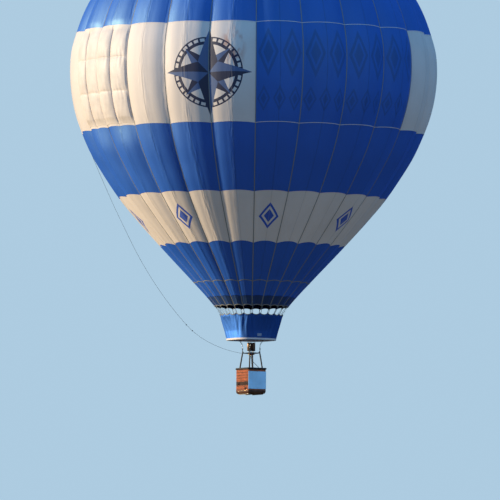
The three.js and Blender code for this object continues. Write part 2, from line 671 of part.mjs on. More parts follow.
// Hoses hang from the boots under the burner to the tanks' valves
const HOSE_ROUTES = {
  back: [
    [20, 0, -12953], [20, 0, -12995], [20, 3, -13040], [21, 9, -13090], [26, 19, -13142], [38, 34, -13194],
    [58, 60, -13252], [86, 98, -13314], [118, 144, -13372], [153, 194, -13428], [187, 243, -13484],
    [216, 286, -13542], [239, 319, -13602], [255, 341, -13662], [263, 352, -13722], [265, 355, -13780],
    [265, 355, -13835.6],
  ],
  front: [
    [-20, 0, -12953], [-20, 0, -12995], [-20, -3, -13040], [-18, -9, -13090], [-11, -20, -13142], [4, -37, -13196],
    [30, -64, -13254], [64, -102, -13314], [102, -147, -13372], [142, -196, -13428], [180, -244, -13484],
    [212, -286, -13542], [237, -319, -13602], [254, -341, -13662], [263, -352, -13722], [265, -355, -13780],
    [265, -355, -13835.6],
  ],
};

function buildHoses() {
  Object.entries(HOSE_ROUTES).forEach(([name, points]) => {
    const route = new THREE.CatmullRomCurve3(points.map((at) => point(...at)), false, "centripetal");
    add("fuel_hose_" + name, tube(route, HOSE.radius, 32), RUBBER);
  });
}

// The crown line lies over the envelope behind its left edge, and hangs from there to the burner frame
const HANGING = [
  { radius: 7345, z: -3970 }, { radius: 7288, z: -4100 }, { radius: 7168, z: -4380 }, { radius: 7030, z: -4700 },
  { radius: 6765, z: -5290 }, { radius: 6480, z: -5920 }, { radius: 6015, z: -6890 }, { radius: 5715, z: -7500 },
  { radius: 5420, z: -8080 }, { radius: 5160, z: -8560 }, { radius: 4875, z: -9050 }, { radius: 4600, z: -9490 },
  { radius: 4315, z: -9920 }, { radius: 3990, z: -10380 }, { radius: 3645, z: -10830 }, { radius: 3300, z: -11250 },
  { radius: 2965, z: -11630 }, { radius: 2650, z: -11930 }, { radius: 2305, z: -12190 }, { radius: 1890, z: -12430 },
  { radius: 1450, z: -12630 }, { radius: 1110, z: -12750 }, { radius: 790, z: -12835 },
];

function buildCrownLine() {
  const ridge = MERIDIANS[1];
  const onFabric = (row, lift = 0) => {
    const first = Math.floor(row);
    const place = ridge.line[first].clone().lerp(ridge.line[first + 1], row - first);
    place.addScaledVector(ridge.normals[first], LINE.standOff + lift);
    return polar(place.x, LINE.turn, place.y);
  };
  const exit = onFabric(LINE.exitRow, 4);
  const held = [polar(CROWN.ringRadius + CROWN.tube + 1, LINE.turn, CROWN.z + 14)];
  for (let row = 0; row < LINE.exitRow; row++) held.push(onFabric(row));
  held.push(exit);
  const sections = held.map((at, index) => {
    const before = held[Math.max(index - 1, 0)];
    const after = held[Math.min(index + 1, held.length - 1)];
    const along = after.clone().sub(before).normalize();
    const across = polar(1, LINE.turn + 90, 0);
    const out = across.clone().cross(along);
    return Array.from({ length: 6 }, (_, side) => {
      const turn = (side * Math.PI) / 3;
      return at.clone()
        .addScaledVector(across, LINE.radius * Math.cos(turn))
        .addScaledVector(out, LINE.radius * Math.sin(turn));
    });
  });
  add("crown_line_on_envelope", barOf(sections), ROPE);

  const along = exit.clone().sub(held.at(-2)).normalize();
  const corner = CORNERS[3];
  const end = point(corner.x * (FRAME.x + FRAME.tube / 2 + 1), corner.y * (FRAME.y - 12), FRAME.z);
  const route = [exit.clone().addScaledVector(along, SEAM)];
  HANGING.forEach((at) => route.push(polar(at.radius, LINE.turn, at.z)));
  route.push(end.clone().add(point(corner.x * 70, 0, 2)), end);
  add("crown_line", tube(new THREE.CatmullRomCurve3(route, false, "centripetal"), LINE.radius, 60), ROPE);
}

buildEnvelope();
buildTapes();
buildValve();
buildScoop();
buildFrame();
buildRigging();
buildUprights();
const floorTop = buildBasket();
buildTanks(floorTop);
buildBurner();
buildHoses();
buildCrownLine();

export default balloon;
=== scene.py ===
"""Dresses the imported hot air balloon: gored fabric, load tapes, scoop, rigging, burner and wicker basket."""

import json
import math

import bmesh
import bpy
import numpy as np
from bpy.props import FloatProperty, FloatVectorProperty, IntProperty, PointerProperty
from mathutils import Matrix, Vector


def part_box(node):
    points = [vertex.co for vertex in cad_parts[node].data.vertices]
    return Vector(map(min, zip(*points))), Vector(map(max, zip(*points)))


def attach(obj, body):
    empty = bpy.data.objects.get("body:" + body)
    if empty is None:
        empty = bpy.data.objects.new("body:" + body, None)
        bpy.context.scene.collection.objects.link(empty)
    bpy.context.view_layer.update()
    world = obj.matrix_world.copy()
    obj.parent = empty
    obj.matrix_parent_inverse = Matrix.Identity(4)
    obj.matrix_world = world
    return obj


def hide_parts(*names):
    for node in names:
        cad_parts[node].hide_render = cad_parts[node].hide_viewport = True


bl_info = {
    "name": "Hot Air Balloon",
    "version": (1, 0, 0),
    "blender": (4, 5, 0),
    "location": "View3D > Sidebar > Balloon",
    "description": "Builds the fabric, rigging, burner and basket of a hot air balloon on its packed frame",
    "category": "Add Mesh",
}

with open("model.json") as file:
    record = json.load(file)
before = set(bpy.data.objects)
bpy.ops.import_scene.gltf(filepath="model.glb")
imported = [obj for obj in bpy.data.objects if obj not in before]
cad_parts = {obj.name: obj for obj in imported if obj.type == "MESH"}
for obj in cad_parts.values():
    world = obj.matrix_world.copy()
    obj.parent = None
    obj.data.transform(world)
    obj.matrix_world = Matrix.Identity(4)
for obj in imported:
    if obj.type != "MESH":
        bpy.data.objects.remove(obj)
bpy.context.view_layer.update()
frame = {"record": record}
ROOT = "balloon"
SLOT_COLOURS = {m["slot"]: tuple(m["base_color"][:3]) for m in frame["record"]["materials"]}

# The photograph's view
VIEW_TURN = -30.8
VIEW_RISE = 3.62
VIEW_DISTANCE = 400.0
VIEW_LENS = 632.9
VIEW_CENTRE_Z = -8.20
VIEW_LEFT = 0.09
VIEW_ROLL = 0.45
FLOOR_REACH, FLOOR_Z = 1500, -33.6

# The envelope
GORES = 24
GORE_TURN = 360 / GORES
FIRST_TURN = -30.0
COVER_GORES = (19, 21)
# How much further out a gore's middle is than its tapes, and the share of that in a crisp mid-gore fold
RIDGE_RATIO = 1.029
FOLD_SHARE = 0.12
# The fabric's mesh: metres down to a row, and columns across a gore
CLOTH_ROW, CLOTH_COLUMNS = 0.17, 16
# Radius and height of a gore's middle from the vent's edge down, and how far a level seam rises there
PROFILE = [
    ("vent", 2.300, 6.500, 0.000),
    ("", 3.300, 6.290, 0.000),
    ("", 4.600, 5.790, 0.005),
    ("", 5.800, 5.030, 0.015),
    ("", 6.750, 4.130, 0.025),
    ("", 7.510, 3.060, 0.035),
    ("broad band top", 8.135, 1.520, 0.045),
    ("", 8.335, 0.760, 0.045),
    ("", 8.395, 0.000, 0.040),
    ("", 8.310, -1.200, 0.040),
    ("", 8.080, -2.200, 0.040),
    ("broad band bottom", 7.800, -2.960, 0.040),
    ("", 7.350, -3.940, 0.045),
    ("", 6.840, -4.780, 0.050),
    ("narrow band top", 6.060, -5.920, 0.055),
    ("", 5.240, -6.900, 0.075),
    ("narrow band bottom", 4.130, -8.130, 0.095),
    ("horizontal tape", 2.580, -9.780, 0.060),
    ("heat panel top", 2.010, -10.400, 0.040),
    ("mouth", 1.650, -10.830, 0.055),
]
# Radius, height and dip between two straps, from the scoop's head down
SCOOP = [(1.440, -11.120, 0.075), (1.350, -11.400, 0.035), (1.240, -11.800, 0.010), (1.137, -12.250, 0.0)]
SCOOP_FOOT = (1.124, -12.325)

# Rigging and burner
FRAME_X, FRAME_Y, FRAME_Z = 0.265, 0.330, -12.900
GIMBAL_X, GIMBAL_Y = 0.205, 0.235
CORNERS = {"front_left": (-1, -1), "front_right": (1, -1), "back_right": (1, 1), "back_left": (-1, 1)}
CAN_X, CAN_RADIUS, CAN_FOOT, CAN_TOP = 0.105, 0.095, -12.800, -12.430

# The basket
BASKET_X, BASKET_Y, BASKET_CORNER = 0.480, 0.570, 0.075
WALL_TOP, WALL_FOOT, WALL_HALF = -13.660, -14.600, 0.020
# Each foothold's side of the basket, and the y and z of its middle
FOOTHOLDS = [(-1, 0.290, -14.310), (-1, -0.310, -14.520), (1, -0.290, -14.310), (1, 0.310, -14.520)]
FOOTHOLD_WIDTH, FOOTHOLD_HEIGHT = 0.150, 0.090
# A place on the wall that is further out than this is on its left or right side
SIDE_WALL_X = 0.40
SOCKET_X, SOCKET_Y = 0.356, 0.444
# The heights between which the cane is dark, and how many rounds apart the thick rounds are
DARK_BAND = (-14.385, -14.215)
WALING_EVERY = 8

CROWN_RADIUS, CROWN_Z = 0.200, 6.690
ROPE_COLOUR = (0.035, 0.038, 0.045)

# The cords' routes, as the model has them. The crown line's are (radius, height) pairs in one upright plane
LINE_TURN = -127.5
HANGING = [
    (7.345, -3.970), (7.288, -4.100), (7.168, -4.380), (7.030, -4.700), (6.765, -5.290), (6.480, -5.920),
    (6.015, -6.890), (5.715, -7.500), (5.420, -8.080), (5.160, -8.560), (4.875, -9.050), (4.600, -9.490),
    (4.315, -9.920), (3.990, -10.380), (3.645, -10.830), (3.300, -11.250), (2.965, -11.630), (2.650, -11.930),
    (2.305, -12.190), (1.890, -12.430), (1.450, -12.630), (1.110, -12.750), (0.790, -12.835),
]
HOSES = {
    "back": [
        (0.020, 0, -12.953), (0.020, 0, -12.995), (0.020, 0.003, -13.040), (0.021, 0.009, -13.090),
        (0.026, 0.019, -13.142), (0.038, 0.034, -13.194), (0.058, 0.060, -13.252), (0.086, 0.098, -13.314),
        (0.118, 0.144, -13.372), (0.153, 0.194, -13.428), (0.187, 0.243, -13.484), (0.216, 0.286, -13.542),
        (0.239, 0.319, -13.602), (0.255, 0.341, -13.662), (0.263, 0.352, -13.722), (0.265, 0.355, -13.780),
        (0.265, 0.355, -13.8356),
    ],
    "front": [
        (-0.020, 0, -12.953), (-0.020, 0, -12.995), (-0.020, -0.003, -13.040), (-0.018, -0.009, -13.090),
        (-0.011, -0.020, -13.142), (0.004, -0.037, -13.196), (0.030, -0.064, -13.254),
        (0.064, -0.102, -13.314), (0.102, -0.147, -13.372), (0.142, -0.196, -13.428),
        (0.180, -0.244, -13.484), (0.212, -0.286, -13.542), (0.237, -0.319, -13.602),
        (0.254, -0.341, -13.662), (0.263, -0.352, -13.722), (0.265, -0.355, -13.780),
        (0.265, -0.355, -13.8356),
    ],
}


def colour_property(name, description, default):
    return FloatVectorProperty(name=name, description=description, default=default, subtype="COLOR", size=3)


class BalloonColours(bpy.types.PropertyGroup):
    """The colours that a user would change."""

    blue: colour_property("Blue fabric", "Main fabric of the envelope", (0.003, 0.084, 0.455))
    cream: colour_property("Cream fabric", "Fabric of the two bands", (0.79, 0.64, 0.505))
    heat: colour_property("Heat panel", "Fabric round the mouth", (0.006, 0.024, 0.130))
    tape: colour_property("Load tape", "Webbing on the seams", (0.37, 0.32, 0.28))
    navy: colour_property("Emblem", "Dark blue of the emblem", (0.011, 0.018, 0.052))
    wicker: colour_property("Wicker", "Willow of the basket", (0.78, 0.205, 0.062))
    cane: colour_property("Dark cane", "Band of darker cane", (0.085, 0.030, 0.012))
    rim: colour_property("Rim leather", "Hide on the rim and the uprights", SLOT_COLOURS["leather"])
    hide: colour_property("Scuff hide", "Hide round the basket's foot", (0.105, 0.036, 0.014))
    scoop: colour_property("Scoop", "Fabric of the scoop", (0.005, 0.031, 0.190))
    banner: colour_property("Banner", "Cloth on the basket's front", (0.60, 0.82, 0.86))


class BalloonSizes(bpy.types.PropertyGroup):
    """The sizes that a user would change."""

    crest: FloatProperty(
        name="Crest", description="How round a gore is: 1 is a fold, 2 is an arc",
        default=2.9, min=1.0, max=4.0,
    )
    tape_width: FloatProperty(
        name="Load tape width", description="Width of the upright tapes", default=0.040, unit="LENGTH"
    )
    hem_width: FloatProperty(
        name="Hem width", description="Width of the level tapes", default=0.042, unit="LENGTH"
    )
    strand: FloatProperty(
        name="Strand height", description="Height of one round of wicker", default=0.0155, unit="LENGTH"
    )
    stakes: IntProperty(name="Stakes", description="Upright stakes round the basket", default=68, min=20)
    quilt: FloatProperty(
        name="Cover puff", description="How far the cover panel puffs out", default=0.100, unit="LENGTH"
    )


def colours():
    return bpy.context.scene.balloon_colours


def sizes():
    return bpy.context.scene.balloon_sizes


# Shapes


def polar(radius, turn, height):
    """Points at a radius and a height. Turn 0 faces -Y, and turns grow towards +X."""
    angle = np.radians(turn)
    radius, angle, height = np.broadcast_arrays(radius, angle, height)
    return np.stack([radius * np.sin(angle), -radius * np.cos(angle), height], axis=-1)


LINE_EXIT = (7.424, -3.801)
CROWN_LINE = [
    *(tuple(polar(radius, LINE_TURN, height)) for radius, height in (LINE_EXIT, *HANGING)),
    (-0.355, 0.318, -12.898),
    (-0.285, 0.318, -12.900),
]
KNOTS = [
    (polar(2.998, LINE_TURN, -11.597), polar(2.965, LINE_TURN, -11.630)),
    (polar(2.718, LINE_TURN, -11.868), polar(2.684, LINE_TURN, -11.899)),
]


def through(knots, values, at):
    """A smooth curve through values at knots, read at the places in at."""
    knots, values, at = np.asarray(knots), np.asarray(values), np.asarray(at, dtype=float)
    slopes = np.gradient(values, knots)
    left = np.clip(np.searchsorted(knots, at, side="right") - 1, 0, len(knots) - 2)
    span = knots[left + 1] - knots[left]
    share = (at - knots[left]) / span
    square, cube = share**2, share**3
    return (
        (2 * cube - 3 * square + 1) * values[left]
        + (cube - 2 * square + share) * span * slopes[left]
        + (3 * square - 2 * cube) * values[left + 1]
        + (cube - square) * span * slopes[left + 1]
    )


RADII = np.array([row[1] for row in PROFILE])
HEIGHTS = np.array([row[2] for row in PROFILE])
# Metres down the fabric from the vent's edge to each row
LEVELS = np.concatenate([[0], np.cumsum(np.hypot(np.diff(RADII), np.diff(HEIGHTS)))])
# How steep the fabric is at each row, and how far along it a level seam is pulled up in a gore's middle
STEEPNESS = np.abs(np.gradient(HEIGHTS, LEVELS))
LIFTS = np.array([row[3] for row in PROFILE]) / np.maximum(STEEPNESS, 0.3)


def turn_of(gores):
    """The turn of a place counted in gores from the first tape."""
    return FIRST_TURN + gores * GORE_TURN


def seam_level(name):
    """How far down the fabric a named seam lies, in metres from the vent's edge."""
    return LEVELS[[row[0] for row in PROFILE].index(name)]


BAND_TOP, BAND_BOTTOM = seam_level("broad band top"), seam_level("broad band bottom")
BAND_GORE_WIDTH = 2.17
# Where the cover's fastenings start, hold and stop pulling its gores in, from the top down
PRESSED_LEVELS = (BAND_TOP - 0.25, BAND_TOP + 0.35, BAND_BOTTOM - 0.3, BAND_BOTTOM + 1.3)
# How far out a pressed gore's middle still is, and the puff of its left and right halves
PRESSED_MIDDLE, LEFT_PUFF, RIGHT_PUFF = 0.34, 0.34, 0.10


def pressed_crest(across, side):
    """The crest of a gore that the cover's fastenings pull in at its middle."""
    puff = np.where(across < 0.5, LEFT_PUFF, RIGHT_PUFF)
    return PRESSED_MIDDLE * (1 - side**1.4) + puff * np.abs(np.sin(math.tau * across)) ** 0.55


def fabric(level, turn, proud=0.0):
    """Points on the envelope at a level and a turn, standing proud of the cloth by some metres."""
    level, turn = np.broadcast_arrays(np.asarray(level, float), np.asarray(turn, float))

    def surface(level, turn):
        gore = (turn - FIRST_TURN) / GORE_TURN
        across = gore - np.floor(gore)
        side = np.abs(2 * across - 1)
        crest = 1 - FOLD_SHARE * side - (1 - FOLD_SHARE) * side ** sizes().crest
        number = np.floor(gore) % GORES
        covered = (COVER_GORES[0] <= number) & (number < COVER_GORES[1])
        press = np.interp(level, PRESSED_LEVELS, [0, 1, 1, 0]) * covered
        press = press**2 * (3 - 2 * press)
        crest = crest + (pressed_crest(across, side) - crest) * press
        one_arch, two_arches = 1 - side**2, np.abs(np.sin(math.tau * across))
        arch = one_arch + press * (0.8 * two_arches - 0.6 * one_arch)
        level = level - np.interp(level, LEVELS, LIFTS) * arch
        ridge = through(LEVELS, RADII, level)
        tape = ridge / RIDGE_RATIO * math.cos(math.radians(GORE_TURN / 2))
        chord = tape / np.cos(np.radians((across - 0.5) * GORE_TURN))
        return polar(chord + (ridge - tape) * crest, turn, through(LEVELS, HEIGHTS, level))

    place = surface(level, turn)
    if np.all(np.asarray(proud) == 0):
        return place
    down = surface(level + 0.01, turn) - surface(level - 0.01, turn)
    round_it = surface(level, turn + 0.02) - surface(level, turn - 0.02)
    normal = np.cross(down, round_it)
    normal /= np.linalg.norm(normal, axis=-1, keepdims=True)
    return place + normal * np.asarray(proud)[..., None]


def fitted(piece, node=None):
    """Hides the CAD node that a piece stands for, if one is given, and returns the piece."""
    if node:
        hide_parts(node)
    return piece


def make_mesh(name, points, faces, materials, body=ROOT, uv=None, slots=None):
    """A mesh piece on a body. uv has one pair for each point, and slots one material number for each face."""
    mesh = bpy.data.meshes.new(name)
    mesh.from_pydata(np.asarray(points).reshape(-1, 3).tolist(), [], faces)
    if uv is not None:
        layer = mesh.uv_layers.new(name="cut")
        corners = np.zeros(len(mesh.loops), dtype=int)
        mesh.loops.foreach_get("vertex_index", corners)
        layer.data.foreach_set("uv", np.asarray(uv).reshape(-1, 2)[corners].ravel())
    if slots is not None:
        mesh.polygons.foreach_set("material_index", slots)
    mesh.polygons.foreach_set("use_smooth", [True] * len(mesh.polygons))
    mesh.validate()
    mesh.update()
    for material in materials:
        mesh.materials.append(material)
    piece = bpy.data.objects.new(name, mesh)
    bpy.context.scene.collection.objects.link(piece)
    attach(piece, body)
    return piece


def grid_faces(rows, columns, wraps, closed=False):
    """Faces over a grid of points. wraps joins its last column to its first, and closed its last row."""
    row, column = np.meshgrid(np.arange(rows - (not closed)), np.arange(columns - (not wraps)), indexing="ij")
    this, below, after = row * columns, (row + 1) % rows * columns, (column + 1) % columns
    corners = [this + column, below + column, below + after, this + after]
    return np.stack(corners, axis=-1).reshape(-1, 4).tolist()


def sheet_mesh(name, grid, uv, materials, wraps=False, body=ROOT):
    """A cloth of one layer from a grid of points with its outside up."""
    rows, columns = grid.shape[:2]
    return make_mesh(name, grid, grid_faces(rows, columns, wraps), materials, body, uv)


def tube_grid(path, radius, sides, squash=1.0, up=(0, 0, 1)):
    """Rings of points round a path. squash flattens the section along up."""
    path = np.asarray(path, float)
    along = np.gradient(path, axis=0)
    along /= np.linalg.norm(along, axis=1, keepdims=True)
    across = np.cross(along, np.asarray(up, float))
    weak = np.linalg.norm(across, axis=1) < 1e-3
    across[weak] = np.cross(along[weak], (1.0, 0.0, 0.0))
    across /= np.linalg.norm(across, axis=1, keepdims=True)
    top = np.cross(across, along)
    angles = np.linspace(0, math.tau, sides, endpoint=False)
    radius = np.broadcast_to(np.asarray(radius, float), len(path))[:, None, None]
    level, rise = np.cos(angles)[None, :, None], squash * np.sin(angles)[None, :, None]
    return path[:, None] + radius * (level * across[:, None] + rise * top[:, None])


class Parts:
    """Gathers closed shapes that make one piece."""

    def __init__(self):
        self.points, self.faces, self.slots, self.count = [], [], [], 0

    def add(self, points, faces, slot=0):
        points = np.asarray(points, float).reshape(-1, 3)
        self.points.append(points)
        self.faces += [[v + self.count for v in face] for face in faces]
        self.slots += [slot] * len(faces)
        self.count += len(points)

    def skin(self, loops, closed=True, slot=0):
        """A skin through loops of equal length. The last joins the first, or else both have flat ends."""
        loops = np.asarray(loops, float)
        count, size = loops.shape[:2]
        faces = grid_faces(count, size, True, closed)
        if not closed:
            faces += [list(range(size)), list(range(count * size - 1, (count - 1) * size - 1, -1))]
        self.add(loops, faces, slot)

    def tube(self, path, radius, sides=8, slot=0, closed=False, squash=1.0, up=(0, 0, 1)):
        self.skin(tube_grid(path, radius, sides, squash, up), closed, slot)

    def turned(self, profile, centre, sides=32, slot=0, axis=(0, 0, 1)):
        """A closed profile of (radius, height) pairs turned round an axis through centre."""
        radius, height = np.transpose(profile)
        angles = np.linspace(0, math.tau, sides, endpoint=False)
        turn = np.array(Vector((0, 0, 1)).rotation_difference(Vector(axis)).to_matrix())
        rings = [
            np.outer(np.cos(angles), radius), np.outer(np.sin(angles), radius), np.tile(height, (sides, 1))
        ]
        self.skin(np.stack(rings, axis=-1) @ turn.T + np.asarray(centre), slot=slot)

    def block(self, low, high, bevel=0.003, slot=0):
        """A box with bevelled edges, with a face towards each side, edge and corner."""
        full = np.eye(3, dtype=int) + 1
        signs = np.array([(2 * np.array(corner) - 1) * row for corner in np.ndindex(2, 2, 2) for row in full])
        inset = np.where(np.abs(signs) == 2, 0, bevel)
        points = np.where(signs > 0, np.asarray(high, float) - inset, np.asarray(low, float) + inset)
        faces = []
        for way in np.array(list(np.ndindex(3, 3, 3))) - 1:
            if way.any():
                reach = signs @ way
                face = np.flatnonzero(reach == reach.max())
                spokes = signs[face] - signs[face].mean(axis=0)
                round_way = np.arctan2(spokes @ np.cross(way, spokes[0]), spokes @ spokes[0])
                faces.append(face[np.argsort(round_way)].tolist())
        self.add(points, faces, slot)

    def slab(self, outer, inner, wraps=False, slot=0):
        """A thin closed shape between two grids of points. wraps joins the last column to the first."""
        rows, columns = outer.shape[:2]
        size = rows * columns
        faces = grid_faces(rows, columns, wraps)
        faces += [[v + size for v in reversed(face)] for face in faces]
        index = np.arange(size).reshape(rows, columns)
        edges = [index[0], index[-1]] if wraps else [index[0], index[-1], index[:, 0], index[:, -1]]
        for edge in edges:
            pairs = np.stack([edge, np.roll(edge, -1)], axis=1).tolist()
            faces += [[a, b, b + size, a + size] for a, b in (pairs if wraps else pairs[:-1])]
        self.add(np.concatenate([outer.reshape(-1, 3), inner.reshape(-1, 3)]), faces, slot)

    def piece(self, name, materials, slot, node=None, body=ROOT, sharp=38):
        """Makes the piece. Edges that turn by more than sharp, in degrees, are shaded as edges."""
        made = make_mesh(name, np.concatenate(self.points), self.faces, materials, body, slots=self.slots)
        shape = bmesh.new()
        shape.from_mesh(made.data)
        bmesh.ops.recalc_face_normals(shape, faces=shape.faces)
        shape.to_mesh(made.data)
        shape.free()
        made.data.set_sharp_from_angle(angle=math.radians(sharp))
        return fitted(made, node)


def spread(points, steps):
    """A smooth line through points, with some steps between each two."""
    points = np.asarray(points, float)
    knots = np.concatenate([[0], np.cumsum(np.linalg.norm(np.diff(points, axis=0), axis=1))])
    spans = [np.linspace(a, b, steps, endpoint=False) for a, b in zip(knots, knots[1:])]
    at = np.concatenate([*spans, knots[-1:]])
    return np.stack([through(knots, points[:, axis], at) for axis in range(3)], axis=1)


def rounded_loop(half_x, half_y, corner, height, steps):
    """A level rectangle with round corners, as points turning left seen from above."""
    loop = []
    for x_side, y_side, start in ((1, 1, 0), (-1, 1, 90), (-1, -1, 180), (1, -1, 270)):
        for angle in np.radians(np.linspace(start, start + 90, steps + 1)):
            x = x_side * (half_x - corner) + corner * math.cos(angle)
            y = y_side * (half_y - corner) + corner * math.sin(angle)
            loop.append((x, y, height))
    return loop


def even_loop(half_x, half_y, corner, count):
    """Evenly spaced (x, y) points round a rectangle with round corners."""
    loop = np.array(rounded_loop(half_x, half_y, corner, 0, 16))[:, :2]
    closed = np.vstack([loop, loop[:1]])
    distance = np.concatenate([[0], np.cumsum(np.linalg.norm(np.diff(closed, axis=0), axis=1))])
    at = np.linspace(0, distance[-1], count, endpoint=False)
    return np.stack([np.interp(at, distance, closed[:, axis]) for axis in range(2)], axis=1)


def wall_loop(count):
    """Evenly spaced (x, y) points round the middle of the basket's wall."""
    return even_loop(BASKET_X - WALL_HALF, BASKET_Y - WALL_HALF, BASKET_CORNER - WALL_HALF, count)


def outward(loop):
    """The unit (x, y) way out of a loop that turns left, at each point."""
    along = np.roll(loop, -1, axis=0) - np.roll(loop, 1, axis=0)
    out = np.stack([along[:, 1], -along[:, 0]], axis=1)
    return out / np.linalg.norm(out, axis=1, keepdims=True)


def runs(keep):
    """The stretches of a closed line that are kept, as (indices, whether it is the whole line)."""
    count = len(keep)
    if keep.all():
        return [(np.arange(count), True)]
    first = int(np.argmin(keep))
    order = (np.arange(count) + first) % count
    found, run = [], []
    for index in order:
        if keep[index]:
            run.append(index)
        elif run:
            found.append((np.array(run), False))
            run = []
    if run:
        found.append((np.array(run), False))
    return [part for part in found if len(part[0]) > 2]


# Shader effects that several materials share


def wire(tree, node, inputs):
    """Sets a node's inputs, each to a value or to another node's output."""
    for key, value in inputs.items():
        if isinstance(value, bpy.types.NodeSocket):
            tree.links.new(value, node.inputs[key])
        else:
            node.inputs[key].default_value = value


def put(tree, kind, inputs=(), **settings):
    """A new node with its inputs and settings."""
    made = tree.nodes.new(kind)
    for key, value in settings.items():
        setattr(made, key, value)
    wire(tree, made, dict(inputs))
    return made


def sums(tree, operation, *values):
    """A Math node's result."""
    return put(tree, "ShaderNodeMath", dict(enumerate(values)), operation=operation).outputs[0]


def blended(tree, share, low, high, mode="MIX"):
    """A mix of two colours."""
    made = put(tree, "ShaderNodeMix", {0: share, 6: low, 7: high}, data_type="RGBA", blend_type=mode)
    return made.outputs[2]


def noise(tree, place, scale, detail, distortion=0.0):
    inputs = {"Vector": place, "Scale": scale, "Detail": detail, "Distortion": distortion}
    return put(tree, "ShaderNodeTexNoise", inputs).outputs[0]


def stretched(tree, place, scale):
    return put(tree, "ShaderNodeMapping", {"Vector": place, "Scale": scale}).outputs[0]


def ramp(tree, value, low, high):
    """0 below low, 1 above high, and a smooth step between."""
    limits = {"Value": value, "From Min": low, "From Max": high}
    return put(tree, "ShaderNodeMapRange", limits, interpolation_type="SMOOTHSTEP").outputs[0]


def effect(name, inputs, outputs, fill):
    """A shader node group, built once. fill gets its tree and its inputs, and returns its outputs by name."""
    found = bpy.data.node_groups.get(name)
    if found:
        return found
    group = bpy.data.node_groups.new(name, "ShaderNodeTree")
    for label, kind, default in inputs:
        socket = group.interface.new_socket(label, in_out="INPUT", socket_type="NodeSocket" + kind)
        if default is not None:
            socket.default_value = default
    for label, kind in outputs:
        group.interface.new_socket(label, in_out="OUTPUT", socket_type="NodeSocket" + kind)
    given = group.nodes.new("NodeGroupInput")
    result = group.nodes.new("NodeGroupOutput")
    for label, socket in fill(group, given.outputs).items():
        group.links.new(socket, result.inputs[label])
    return group


def use(tree, group, **inputs):
    """A group placed in a tree. Its inputs are named with _ for a space."""
    made = put(tree, "ShaderNodeGroup", node_tree=group)
    wire(tree, made, {key.replace("_", " "): value for key, value in inputs.items()})
    return made.outputs


def mottle_effect():
    def fill(tree, given):
        wide = noise(tree, given["Place"], given["Scale"], 4.0)
        fine = noise(tree, given["Place"], 60.0, 3.0)
        both = sums(tree, "ADD", sums(tree, "MULTIPLY", wide, 0.7), sums(tree, "MULTIPLY", fine, 0.3))
        share = ramp(tree, both, 0.32, 0.68)
        amount = sums(tree, "MULTIPLY", share, given["Amount"])
        return {"Colour": blended(tree, amount, given["Base"], given["Second"]), "Mask": share}

    return effect(
        "Mottle",
        [
            ("Place", "Vector", None), ("Scale", "Float", 1.0), ("Base", "Color", None),
            ("Second", "Color", None), ("Amount", "Float", 0.5),
        ],
        [("Colour", "Color"), ("Mask", "Float")],
        fill,
    )


def weave_effect():
    """Threads crossing at right angles, as a height."""

    def fill(tree, given):
        bands = [
            put(
                tree, "ShaderNodeTexWave",
                {"Vector": given["Place"], "Scale": given["Scale"], "Distortion": 0.4},
                bands_direction=direction, wave_profile="SIN",
            ).outputs["Fac"]
            for direction in ("X", "Y", "Z")
        ]
        height = sums(tree, "MULTIPLY", sums(tree, "ADD", sums(tree, "ADD", *bands[:2]), bands[2]), 0.33)
        return {"Height": height}

    return effect(
        "Weave", [("Place", "Vector", None), ("Scale", "Float", 100.0)], [("Height", "Float")], fill
    )


def seam_effect():
    """Fabric near the gores' seams: across is 0 at a tape, and pucker is small upright folds beside it."""

    def fill(tree, given):
        part = put(tree, "ShaderNodeSeparateXYZ", {0: given["Cut"]}).outputs
        across = sums(tree, "FRACT", part[0])
        half = sums(tree, "ABSOLUTE", sums(tree, "SUBTRACT", across, 0.5))
        stitch = sums(
            tree, "SUBTRACT", 1.0, ramp(tree, half, given["Stitch width"], given["Stitch half shadow"])
        )
        from_tape = sums(tree, "SUBTRACT", 0.5, half)
        upright = {0: sums(tree, "MULTIPLY", part[0], 14.0), 1: sums(tree, "MULTIPLY", part[1], 1.1)}
        place = put(tree, "ShaderNodeCombineXYZ", upright)
        folds = noise(tree, place.outputs[0], 1.0, 3.0)
        near_ridge = sums(tree, "SUBTRACT", 1.0, ramp(tree, half, 0.0, 0.16))
        near_tape = sums(tree, "SUBTRACT", 1.0, ramp(tree, from_tape, 0.0, 0.14))
        near = sums(tree, "ADD", sums(tree, "MAXIMUM", near_ridge, near_tape), 0.12)
        return {"Stitch": stitch, "Folds": sums(tree, "MULTIPLY", folds, near)}

    return effect(
        "Gore seams",
        [("Cut", "Vector", None), ("Stitch width", "Float", 0.006), ("Stitch half shadow", "Float", 0.014)],
        [("Stitch", "Float"), ("Folds", "Float")],
        fill,
    )


